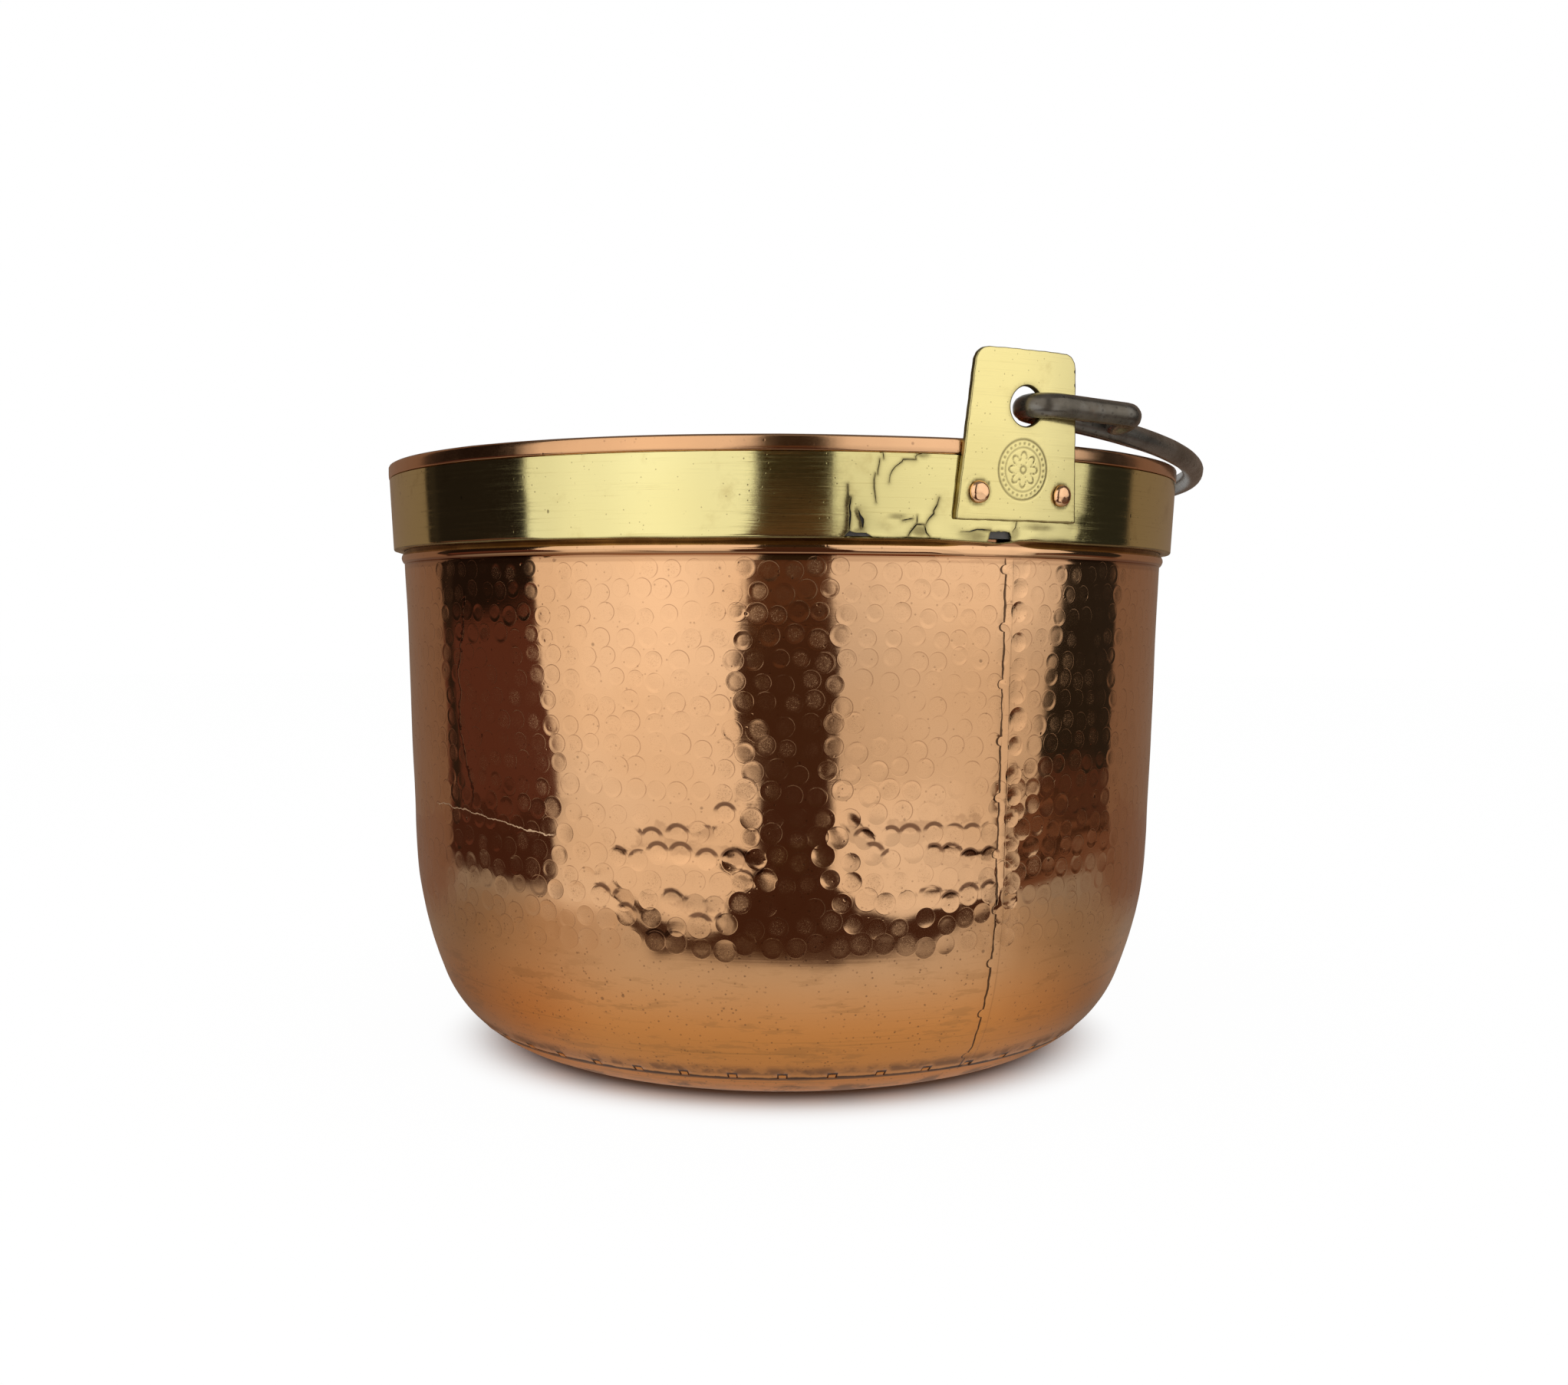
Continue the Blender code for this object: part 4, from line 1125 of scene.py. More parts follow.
# In behind the wall, up its lap, over the rim and back down the inside: turn past the seam, and inset
PAN_RIM = (
    (0.0, 0.9 * MM), (0.004, 1.8 * MM), (0.112, 1.8 * MM), (0.112, 3.3 * MM), (0.0, 3.3 * MM),
    (-0.048, 1.5 * MM),
)
TOOTH_UP = (0, 0.04, 0.16, 0.5, 0.84, 0.96, 1)
TOOTH_ASIDE = (-1, -0.92, -0.7, 0, 0.7, 0.92, 1)


def heel(turn, inset):
    """Radius and height on the heel's arc, at this turn from its lowest point and this far in."""
    depth = HEEL_RADIUS - inset
    return HEEL_CENTRE[0] + depth * math.sin(turn), HEEL_CENTRE[1] - depth * math.cos(turn)


def make_pan():
    """The shallow pan: spun skin, its edge under the wall's notched foot, and a tooth in each notch."""
    angles = TAU * (np.arange(PAN_COLUMNS) + 0.5) / PAN_COLUMNS
    flat = np.zeros_like(angles)
    rings = []
    for r in PAN_FLAT_RADII:
        dent = 0.10 * MM * np.abs(ripple(angles, flat + r, 30 * MM, 41)) * (1 - smooth(r, 0.1, 0.12))
        rings.append(ring(r, dent, angles))
    for turn in np.linspace(0, SEAM_TURN, 18):
        run = turn * HEEL_RADIUS
        dent = 0.08 * MM * np.abs(ripple(angles, flat + run, 13 * MM, 42))
        dent += 0.05 * MM * smooth(run, 0.040, 0.043)
        r, z = heel(turn, dent)
        rings.append(ring(r, np.maximum(z, 0), angles))
    rings += [ring(*heel(SEAM_TURN + past, inset), angles) for past, inset in PAN_RIM]
    rings += [ring(*heel(turn, COPPER), angles) for turn in np.linspace(SEAM_TURN - 0.1, 0, 9)]
    for r in PAN_INSIDE_RADII:
        rings.append(ring(r, COPPER + 0.05 * MM * ripple(angles, flat + r, 40 * MM, 43) * (r > 0.01), angles))
    verts = [tuple(v) for v in np.concatenate(rings)]
    faces = tube_faces(len(rings), PAN_COLUMNS)

    # Teeth: low cushions that stand in the notches
    draw = np.random.default_rng(44)
    for tooth in range(TOOTH_COUNT):
        middle = (tooth + 0.75) * TOOTH_PITCH
        half = draw.uniform(1.68, 1.86) * MM
        long = draw.uniform(3.05, 3.3) * MM
        grid = np.arange(49).reshape(7, 7) + len(verts)
        for up_share in TOOTH_UP:
            for aside in TOOTH_ASIDE:
                run = SEAM_RUN + 0.4 * MM - (long + 0.4 * MM) * up_share
                radius, height, out, up = (float(v) for v in skin(run))
                sunk = 0.9 * MM * (abs(aside) == 1 or up_share in (0, 1))
                sunk += 0.14 * MM * (abs(aside) == 0.92 or up_share in (0.04, 0.96))
                sunk += draw.uniform(0.0, 0.08) * MM - 0.04 * MM * (abs(aside) < 0.9 and 0.1 < up_share < 0.9)
                angle = middle + aside * half / radius
                r, z = radius - sunk * out, height - sunk * up
                verts.append((r * math.cos(angle), r * math.sin(angle), z))
        corners = (grid[:-1, :-1], grid[:-1, 1:], grid[1:, 1:], grid[1:, :-1])
        faces += [tuple(face) for face in np.stack(corners, axis=-1).reshape(-1, 4).tolist()]
        rim = [*grid[0], *grid[1:, 6], *grid[6, 5::-1], *grid[5:0:-1, 0]]
        faces.append(tuple(int(i) for i in reversed(rim)))
    obj = object_from("spun_bottom_pan", verts, faces)
    shade(obj, 40)
    return obj


# Materials: every one has its colour, gloss and fine relief from nodes

def arithmetic(operation):
    """A method that adds one maths node."""
    return lambda value, *others: value.nodes.maths(operation, value, *others)


class Value:
    """A number that flows between nodes. Arithmetic on it adds the nodes that work it out."""

    __add__, __sub__ = arithmetic("ADD"), arithmetic("SUBTRACT")
    __mul__, __truediv__ = arithmetic("MULTIPLY"), arithmetic("DIVIDE")
    __abs__ = arithmetic("ABSOLUTE")
    at_least, at_most = arithmetic("MAXIMUM"), arithmetic("MINIMUM")

    def __init__(self, nodes, socket):
        self.nodes, self.socket = nodes, socket

    def __rsub__(self, other):
        return self.nodes.maths("SUBTRACT", other, self)

    def steps(self, low, high, to_low=0.0, to_high=1.0):
        """This value's share of the way from low to high, eased, as to_low to to_high."""
        made = self.nodes.add("MapRange", {
            "Value": self, "From Min": low, "From Max": high, "To Min": to_low, "To Max": to_high,
        }, interpolation_type="SMOOTHSTEP")
        return Value(self.nodes, made.outputs["Result"])

    def window(self, low, high, soft):
        """1 between low and high, with soft edges."""
        return (self - low).steps(-soft, soft) * (self - high).steps(soft, -soft)


class Nodes:
    """A node tree under construction."""

    def __init__(self, tree):
        self.tree = tree

    def add(self, kind, inputs=None, **settings):
        made = self.tree.nodes.new("ShaderNode" + kind)
        for key, value in settings.items():
            setattr(made, key, value)
        for key, value in (inputs or {}).items():
            self.put(made.inputs[key], value)
        return made

    def put(self, socket, value):
        if isinstance(value, Value):
            value = value.socket
        if isinstance(value, bpy.types.NodeSocket):
            self.tree.links.new(value, socket)
        else:
            socket.default_value = value

    def maths(self, operation, first, second=0.0):
        return Value(self, self.add("Math", {0: first, 1: second}, operation=operation).outputs[0])

    def distance(self, x, y):
        return self.maths("SQRT", x * x + y * y)

    def parts(self, vector):
        return [Value(self, socket) for socket in self.add("SeparateXYZ", {0: vector}).outputs[:3]]

    def rays(self, *kinds):
        """1 for rays of these kinds, 0 for all others."""
        path = self.add("LightPath")
        seen, *others = [Value(self, path.outputs["Is %s Ray" % kind]) for kind in kinds]
        for other in others:
            seen = seen.at_least(other)
        return seen


class Paint(Nodes):
    """A material under construction, with the colour, roughness and relief laid so far."""

    def __init__(self, name, gloss=0.5):
        self.material = bpy.data.materials.new(name)
        self.material.use_nodes = True
        super().__init__(self.material.node_tree)
        self.shader = self.tree.nodes["Principled BSDF"]
        self.surface = self.tree.nodes["Material Output"].inputs["Surface"]
        self.place = self.add("TexCoord").outputs["Object"]
        self.x, self.y, self.z = self.parts(self.place)
        self.colour, self.roughness, self.height = None, gloss, 0.0

    def mix(self, share, first, second):
        made = self.add("Mix", data_type="RGBA", blend_type="MIX", clamp_factor=True)
        for index, value in ((0, share), (6, first), (7, second)):
            self.put(made.inputs[index], (*value, 1) if isinstance(value, (tuple, list)) else value)
        return made.outputs[2]

    def greys(self, level, share):
        """The level as a grey that may pass 1; the share of it stays below 1, where mixing stops."""
        return self.mix(level * share, grey(0.0), grey(1 / share))

    def tint(self, mask, colour, share=1):
        """Lay this share of a colour where the mask is 1."""
        self.colour = self.mix(mask if share == 1 else mask * share, self.colour, colour)

    def roughen(self, mask, amount):
        self.roughness = mask * amount + self.roughness

    def lift(self, mask, distance):
        self.height = mask * distance + self.height

    def stretched(self, scale):
        return self.add("Mapping", {"Vector": self.place, "Scale": scale}).outputs[0]

    def noise(self, scale, detail, rough=0.55, place=None):
        made = self.add("TexNoise", {
            "Vector": place or self.place, "Scale": scale, "Detail": detail, "Roughness": rough,
        })
        return Value(self, made.outputs["Fac"])

    def spots(self, scale, low, high, place=None):
        """1 in small round spots, 0 between them."""
        cells = self.add("TexVoronoi", {"Vector": place or self.place, "Scale": scale})
        return Value(self, cells.outputs["Distance"]).steps(high, low)

    def attribute(self, name):
        made = self.add("Attribute", attribute_name=name, attribute_type="GEOMETRY")
        return self.parts(made.outputs["Vector"])

    def finish(self, metal):
        for name, value in (("Base Color", self.colour), ("Metallic", metal), ("Roughness", self.roughness)):
            self.put(self.shader.inputs[name], value)
        bump = self.add("Bump", {"Height": self.height, "Distance": 1.0, "Strength": 1.0})
        self.put(self.shader.inputs["Normal"], bump.outputs[0])
        return self.material


def grey(level):
    return (level, level, level)


def copper_paint(name, base, deep, gloss, *marks):
    """Polished copper: tone drift, stains, pits and polishing lines, a painted warm reflection low down, and
    then the piece's own marks.
    """
    paint = Paint(name, gloss)
    z = paint.z
    cloud = paint.noise(45, 4, 0.6)
    fine = paint.noise(420, 3, 0.6)
    lined = paint.noise(6, 4, 0.6, paint.stretched((1, 1, 90)))
    pits = paint.spots(230, 0.06, 0.15)
    big_pits = paint.spots(61, 0.03, 0.07)
    specks = paint.spots(330, 0.08, 0.22) * cloud.steps(0.36, 0.56)
    low = z.steps(0.10, 0.055)
    dashes = lined.steps(0.56, 0.68) * z.steps(0.06, 0.045)
    scuffs = paint.noise(34, 4, 0.7, paint.stretched((1, 1, 5))).steps(0.53, 0.62) * z.steps(0.085, 0.055)
    paint.colour = paint.mix(paint.noise(9, 2).steps(0.35, 0.65), base, deep)
    paint.tint(cloud.steps(0.52, 0.75, 0.0, 0.22), [value * 0.75 for value in deep])
    # Painted reflection: a deeper, warmer orange low down stands for the warm light the floor near the vessel
    # sends back
    paint.tint(low, (0.82, 0.38, 0.13), 0.5)
    paint.tint(z.steps(0.072, 0.036), (0.90, 0.345, 0.085), 0.9)
    paint.tint(dashes, (0.42, 0.20, 0.06), 0.34)
    paint.tint(scuffs, (0.42, 0.20, 0.07), 0.30)
    paint.tint(pits, (0.16, 0.07, 0.035), 0.35)
    paint.tint(specks, (0.20, 0.09, 0.04), z.steps(0.12, 0.07, 0.12, 0.62))
    paint.tint(big_pits, (0.10, 0.05, 0.03), 0.5)
    paint.roughen(cloud.steps(0.4, 0.7), 0.04)
    paint.roughen(fine, 0.03)
    paint.roughen(low, 0.16)
    paint.lift(fine, 0.006 * MM)
    paint.lift(lined, low * (0.02 * MM) + 0.006 * MM)
    paint.lift(pits, -0.012 * MM)
    paint.lift(big_pits, -0.05 * MM)
    for mark in marks:
        mark(paint, cloud)
    return paint.finish(1.0)


def pan_joint_and_shade(paint, cloud):
    """Dark at the pan's joint, dark patches low down, and painted shade round its foot, all on the faces that
    look down.
    """
    # The joint line is the pan's own dark joint; the dark round the foot is painted shade
    edge = paint.z.window(0.0140, 0.0156, 0.0004).at_least(paint.z.steps(0.0055, 0.0020))
    patches = cloud.steps(0.50, 0.62) * paint.z.steps(0.0125, 0.008)
    # All of it only on the faces that look down, where shade falls
    normal = paint.parts(paint.add("NewGeometry").outputs["True Normal"])
    edge = edge.at_least(patches * 0.8) * normal[2].steps(0.02, -0.04)
    paint.tint(edge, (0.16, 0.07, 0.03), 0.8)


def blow_marks(paint, _):
    """The hammer's discs: a thin rim seen in arcs, darker to its upper right as painted shade, a duller floor
    with a slight tilt, a bowl where deep, and painted dark arcs above the discs along the dents.
    """
    rim_and_shade, floors, arc_shade = [], [], []
    for layer in ("blow_a", "blow_b"):
        across, down, depth = paint.attribute(layer)
        reach = paint.distance(across, down)
        struck = abs(depth).steps(0.0, 0.02)
        deep = abs(depth).steps(0.07, 0.13)
        inside = reach.steps(1.0, 0.52)
        bowl = (reach * reach - 1.0).at_most(0.0)
        paint.lift((inside * (deep * 0.5 - 0.5) + bowl * deep) * depth, 1.0 * MM)
        # The depth differs from blow to blow, so it stands in for a random number
        sway = paint.maths("SINE", depth * 5200.0)
        tip = paint.maths("SINE", depth * 8700.0)
        paint.lift((across * sway + down * tip) * (inside * struck), 0.035 * MM)
        paint.lift(reach.steps(0.93, 1.0) * reach.steps(1.12, 1.02) * struck, 0.004 * MM)
        # Painted shade: the rim darkens towards the disc's upper right
        shaded = (down * -0.7 + across).steps(-0.7, 0.6, 0.12, 1.0)
        rim = reach.steps(0.88, 0.95) * reach.steps(1.03, 0.97) * shaded
        rim_and_shade.append(rim * (struck * deep.steps(0.0, 1.0, 1.0, 0.5)))
        floors.append(inside * struck * tip.steps(-0.2, 0.8, 0.35, 1.0))
        # Painted dark reflection: an arc above each disc, kept to the dents by the mask below
        arc_shade.append(reach.steps(0.70, 0.86) * reach.steps(1.30, 1.10) * struck * down.steps(-0.15, -0.6))
    rim_and_shade, floors, arc_shade = [first.at_least(second) for first, second in (rim_and_shade, floors, arc_shade)]
    rim_and_shade = rim_and_shade * paint.noise(75, 2).steps(0.40, 0.55, 0.12, 1.0)
    grains = floors * paint.noise(1600, 2, 0.6).steps(0.50, 0.68)
    arc_shade = arc_shade * paint.attribute("dent")[0].steps(0.01, 0.12)
    paint.tint(arc_shade, (0.12, 0.048, 0.025), 0.86)
    paint.tint(rim_and_shade, (0.30, 0.13, 0.065), 0.50)
    paint.tint(grains, (0.34, 0.17, 0.09), 0.16)
    paint.roughen(floors, 0.085)
    paint.roughen(grains, 0.13)
    paint.roughen(rim_and_shade, 0.24)


def seam_marks(paint, cloud):
    """The brazed joint: a thin dark line with tabs to its left, and a smooth strip to its right."""
    across, run, _ = paint.attribute("seam")
    phase = paint.maths("MODULO", run + SEAM_TAB_PITCH * 0.3, SEAM_TAB_PITCH) - SEAM_TAB_PITCH / 2
    phase = phase / SEAM_TAB_HALF
    out = paint.maths("SQRT", (1.0 - phase * phase).at_least(0.0)) * SEAM_TAB_OUT
    sway = (paint.noise(130, 2) - 0.5) * (2.2 * MM)
    wobble = (cloud - 0.5) * (1.3 * MM)
    line = (abs(across + sway - out) + wobble).steps(0.58 * MM, 0.22 * MM)
    paint.tint(line, (0.05, 0.022, 0.012), 0.9)
    paint.lift(line, -0.08 * MM)
    edge = (abs(across - SEAM_STRIP) + wobble).steps(0.45 * MM, 0.1 * MM)
    paint.tint(edge, (0.16, 0.08, 0.04), 0.18)
    paint.lift(edge, -0.03 * MM)


def wall_marks(paint, cloud):
    """What the wall has picked up: tarnish at the lip, a dark foot, a scratch and a wrinkle; and painted
    shade at the lip's inner edge, under the band, in the bead's groove and on the dents' upper sides.
    """
    z = paint.z
    around = paint.maths("ARCTAN2", paint.y, paint.x)
    turn = around * (180 / math.pi) + 90.0
    wander = paint.noise(95, 3, 0.6) - 0.5

    lip = z.steps(0.2945, 0.2955) * cloud.steps(0.25, 0.65, 0.5, 1.0)
    paint.tint(lip, (0.55, 0.27, 0.16), 0.12)
    paint.roughen(lip, 0.12)
    # Painted shade: a dark line down the lip's inner edge, where the inside falls into shade
    paint.tint(z.window(0.3022, 0.3027, 0.0002), (0.22, 0.11, 0.06), 0.8)
    # Painted shade in the crevice under the band, on the outer face only
    outer = paint.distance(paint.x, paint.y).steps(NECK[0] - 1.2 * MM, NECK[0] - 0.8 * MM)
    shade_under_band = z.steps(BEAD_TOP - 1.9 * MM, BEAD_TOP - 1.1 * MM) * z.steps(0.266, 0.264) * outer
    paint.tint(shade_under_band, (0.26, 0.11, 0.05), 0.85)
    # Painted shade in the groove under the bead and, fainter, just below it
    groove_shade = z.window(NECK_HEIGHT - 0.8 * MM, NECK_HEIGHT + 1.4 * MM, 0.4 * MM)
    below = z.window(NECK_HEIGHT - 2.6 * MM, NECK_HEIGHT, 0.5 * MM)
    paint.tint(groove_shade.at_least(below * 0.45) * outer, (0.36, 0.17, 0.08), 0.75)

    share = paint.maths("FRACT", around / TOOTH_PITCH - (0.25 - 10))
    aside = abs(share - 0.5) * (TOOTH_PITCH * radius_at(SEAM_RUN))
    notch = aside.steps(2.5 * MM, 2.2 * MM) * z.steps(0.0187, 0.0183)
    foot = notch.at_least((wander * (2.2 * MM) + z).steps(0.0165, 0.0156))
    paint.tint(foot, (0.06, 0.025, 0.012), 0.92)
    above = z.steps(0.0165, 0.0185) * z.steps(0.0245, 0.0195) * wander.steps(-0.10, 0.08, 0.35, 1.0)
    paint.tint(above, (0.22, 0.10, 0.05), 0.72)
    paint.roughen(above.at_least(foot), 0.2)

    # Painted dark reflection on the dents' upper sides, broken up by noise and the wander mask
    dent = (paint.noise(230, 2) - 0.5) * 0.9 + paint.attribute("dent")[0]
    dent = dent.steps(0.22, 0.44) * wander.steps(-0.14, 0.04, 0.25, 1.0)
    paint.tint(dent, (0.22, 0.095, 0.045), 0.28)

    # A pale scratch across the left side and a dark wrinkle down it, both wandering
    slope = (turn + 79.0).at_least(0.0) * -0.00043 + 0.1340
    off = wander * (5.0 * MM) + z - slope
    scratch = abs(off).steps(0.42 * MM, 0.12 * MM) * turn.window(-88.5, -61, 0.5)
    paint.tint(scratch, (0.95, 0.70, 0.46))
    paint.roughen(scratch, 0.5)
    paint.lift(scratch, -0.02 * MM)
    bow = z.steps(0.170, 0.145) * 2.8 + (z.steps(0.235, 0.180) * -2.2 - 77.5)
    off = wander * 3.2 + turn - bow
    wrinkle = abs(off).steps(0.32, 0.08) * z.window(0.136, 0.236, 0.004)
    paint.tint(wrinkle, (0.10, 0.045, 0.03), 0.7)
    paint.lift(wrinkle, -0.05 * MM)


def brass_paint(name, tone, shade_tone, gloss):
    """Rolled brass: tone drift, fine drawn lines, pits, scratches, and a dark patina where it is worn or in
    painted shade.
    """
    paint = Paint(name, gloss)
    cloud = paint.noise(60, 4, 0.6)
    fine = paint.noise(500, 3, 0.6)
    lined = paint.noise(5, 4, 0.65, paint.stretched((1, 1, 160)))
    drawn = paint.noise(9, 5, 0.7, paint.stretched((2.5, 2.5, 120)))
    pits = paint.spots(300, 0.05, 0.14)
    nicks = paint.spots(75, 0.02, 0.06, paint.stretched((1, 1, 0.6)))
    worn = paint.attribute("wear_and_shade")[0]
    paint.colour = paint.mix(paint.noise(7, 2).steps(0.35, 0.65), tone, shade_tone)
    paint.tint(cloud.steps(0.55, 0.8, 0.0, 0.45), (0.50, 0.37, 0.13))
    paint.tint(drawn.steps(0.55, 0.75, 0.0, 0.35), (0.55, 0.42, 0.15))
    paint.tint(pits, (0.14, 0.10, 0.04), 0.45)
    paint.tint(nicks, (0.12, 0.08, 0.03), 0.7)
    # The dark where worn is partly real patina, partly painted shade under the band's edge and round the
    # ear's rivets
    paint.tint(worn * cloud.steps(0.30, 0.60, 0.6, 1.0), (0.13, 0.09, 0.03), 0.88)
    paint.roughen(cloud, 0.05)
    paint.roughen(fine, 0.03)
    paint.roughen(drawn.steps(0.45, 0.8), 0.12)
    paint.roughen(worn, 0.25)
    for mask, distance in ((fine, 0.005), (lined, 0.010), (drawn, 0.018), (pits, -0.012), (nicks, -0.03)):
        paint.lift(mask, distance * MM)
    return paint.finish(1.0)


def iron_paint(name, base, gloss, rusty):
    """Forged iron: scale and bare streaks along it, pits and rust."""
    paint = Paint(name, gloss)
    cloud = paint.noise(70, 5, 0.65)
    pits = paint.spots(260, 0.10, 0.25)
    paint.colour = paint.mix(cloud.steps(0.35, 0.7), base, [value * 1.6 for value in base])
    paint.tint(paint.noise(38, 3, 0.6).steps(0.48, 0.62, 0.0, 0.6), (0.27, 0.255, 0.225))
    paint.tint(paint.noise(120, 4, 0.7).steps(0.58, 0.75, 0.0, rusty), (0.17, 0.085, 0.04))
    paint.tint(pits, (0.03, 0.022, 0.018), 0.5)
    paint.roughen(cloud, 0.22)
    paint.lift(paint.noise(600, 3, 0.6), 0.012 * MM)
    paint.lift(cloud, 0.10 * MM)
    paint.lift(pits, -0.03 * MM)
    return paint.finish(0.85)


wall_copper = copper_paint(
    "wall_copper", (0.86, 0.50, 0.265), (0.82, 0.45, 0.22), 0.045, blow_marks, seam_marks, wall_marks)
pan_copper = copper_paint("pan_copper", (0.88, 0.29, 0.06), (0.80, 0.25, 0.05), 0.26, pan_joint_and_shade)
rivet_copper = copper_paint("rivet_head_copper", (0.98, 0.58, 0.32), (0.95, 0.52, 0.28), 0.10)
band_brass = brass_paint("band_sheet_brass", (0.88, 0.78, 0.37), (0.84, 0.72, 0.31), 0.045)
ear_brass = brass_paint("ear_plate_brass", (0.93, 0.81, 0.37), (0.87, 0.735, 0.31), 0.085)
hoop_iron = iron_paint("hoop_bar_iron", (0.10, 0.092, 0.085), 0.5, 0.7)
bail_iron = iron_paint("bail_rod_iron", (0.105, 0.09, 0.07), 0.17, 0.35)

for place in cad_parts["iron_hoop"].material_slots:
    place.material = hoop_iron

dress(make_wall(), "kettle", ["side_wall"], wall_copper)
dress(make_pan(), "kettle", ["bottom_pan"], pan_copper)
dress(make_band(), "kettle", ["brass_band"], band_brass)
dress(make_ear("front_ear_plate", 0.0, 51), "kettle", ["ear_front"], ear_brass)
dress(make_ear("rear_ear_plate", math.pi, 57), "kettle", ["ear_rear"], ear_brass)
half_turn = Matrix.Rotation(math.pi, 4, "Z")
for seed, (side, place) in enumerate((
    ("front_left", rivet_place(-1)), ("front_right", rivet_place(1)),
    ("rear_right", half_turn @ rivet_place(-1)), ("rear_left", half_turn @ rivet_place(1)),
)):
    rivet = make_rivet("hammered_rivet_" + side, place, 60 + seed)
    dress(rivet, "kettle", ["rivet_" + side], rivet_copper)
dress(make_bail(), "bail", ["bail"], bail_iron)

# Stage: a pale floor, and the cards that only the metal's reflections see

CAMERA_TURN = math.radians(-119.7)
CARD_RADIUS = 1.02
CARD_HEIGHT = 1.4
FLOOR_CARD_INNER, FLOOR_CARD_HEIGHT = 0.126, 0.0006
FLOOR_RADIUS = 6.0
SURROUND_SIDES = 180
WHITE = (1, 1, 1, 1)
LAMP_PLACE, LAMP_AIM = Vector((-0.6, -0.6, 1.7)), Vector((-0.6, -0.6, 1.55))
CAMERA_PLACE = Vector((-0.4515, -0.7916, 0.2250))
CAMERA_LENS = 38.02


def stage_sheet(name, rings, sides=96):
    """A sheet between two (radius, height) rings, or filling one."""
    angles = TAU * np.arange(sides) / sides
    verts = [(r * math.cos(a), r * math.sin(a), z) for r, z in rings for a in angles]
    return object_from(name, verts, ring_faces(2, sides) if len(rings) == 2 else [tuple(range(sides))])


def hang_card(card, paint):
    """Let the card glow with the paint's colour, and show it in reflections only."""
    paint.tree.nodes.remove(paint.shader)
    light = paint.add("Emission", {"Color": paint.colour, "Strength": 1.0})
    paint.put(paint.surface, light.outputs[0])
    card.data.materials.append(paint.material)
    card.visible_camera = False
    card.visible_diffuse = False
    card.visible_transmission = False
    card.visible_volume_scatter = False
    card.visible_shadow = False


def round_from_camera(paint):
    """Degrees round from the camera's side, positive to the camera's right."""
    turn = paint.maths("ARCTAN2", paint.y, paint.x) - CAMERA_TURN
    return paint.maths("FRACT", turn / TAU + 0.5) * 360.0 - 180.0


def make_surround():
    """A round wall of pale cards with dark gaps, and a plain dark column on the camera's side."""
    paint = Paint("reflection_cards")
    z, turn = paint.z, round_from_camera(paint)
    low = z.at_most(0.24)
    left_edge = low.at_most(0.2) * -21.0 - 62.4
    right_edge = z.at_most(0.30) * 42.0 + 70.7
    paint.colour = paint.mix(turn.window(-160, 160, 4), grey(0.6), (0.215, 0.150, 0.112))

    gap = paint.mix(z.steps(0.17, 0.20), (0.10, 0.042, 0.033), (0.014, 0.010, 0.009))
    gap = paint.mix(turn.window(-107, -103, 1), gap, (0.025, 0.018, 0.015))
    paint.tint(turn.window(-109, left_edge, 0.8), gap)
    gap = paint.mix(z.steps(0.02, 0.06), (0.08, 0.04, 0.03), (0.022, 0.02, 0.018))
    paint.tint(turn.window(right_edge, 105, 0.8), gap)

    hot = z.steps(0.08, 0.20) * turn.window(-32, -31, 16)
    left = (hot * 0.42 + z.steps(0.02, 0.16, 0.90, 1.0)) * turn.steps(-62, -50, 0.88, 1.0)
    paint.tint(turn.window(left_edge, -2, 0.8), paint.greys(left, 0.6))
    right = z.steps(0.12, 0.21, 0.75, 0.95) + z.steps(0.26, 0.32, 0.0, 0.13)
    right = right * turn.steps(14, 40, 0.86, 1.0) * turn.steps(80, 54, 0.74, 1.0)
    paint.tint(turn.window(2, right_edge, 1.2), paint.greys(right, 0.8))

    # The column narrows above its waist, and its edges sway below it
    narrow = (low - 0.13).at_least(0.0) * 55.0
    sway = (paint.noise(26, 3, 0.6) - 0.5) * z.steps(0.25, 0.23, 0.0, 9.0)
    figure_low = narrow + z.steps(0.0, 0.06, -6.0, -12.5)
    figure_high = z.steps(0.205, 0.225, 14.0, 18.0) - narrow
    figure = paint.mix(z.steps(0.155, 0.175), (0.055, 0.028, 0.018), (0.10, 0.05, 0.03))
    figure = paint.mix(z.steps(0.225, 0.245), figure, (0.030, 0.022, 0.014))
    paint.tint((turn + sway).window(figure_low, figure_high, 0.9), figure)
    rings = ((CARD_RADIUS, CARD_HEIGHT), (CARD_RADIUS, 0))
    hang_card(stage_sheet("reflection_surround", rings, SURROUND_SIDES), paint)


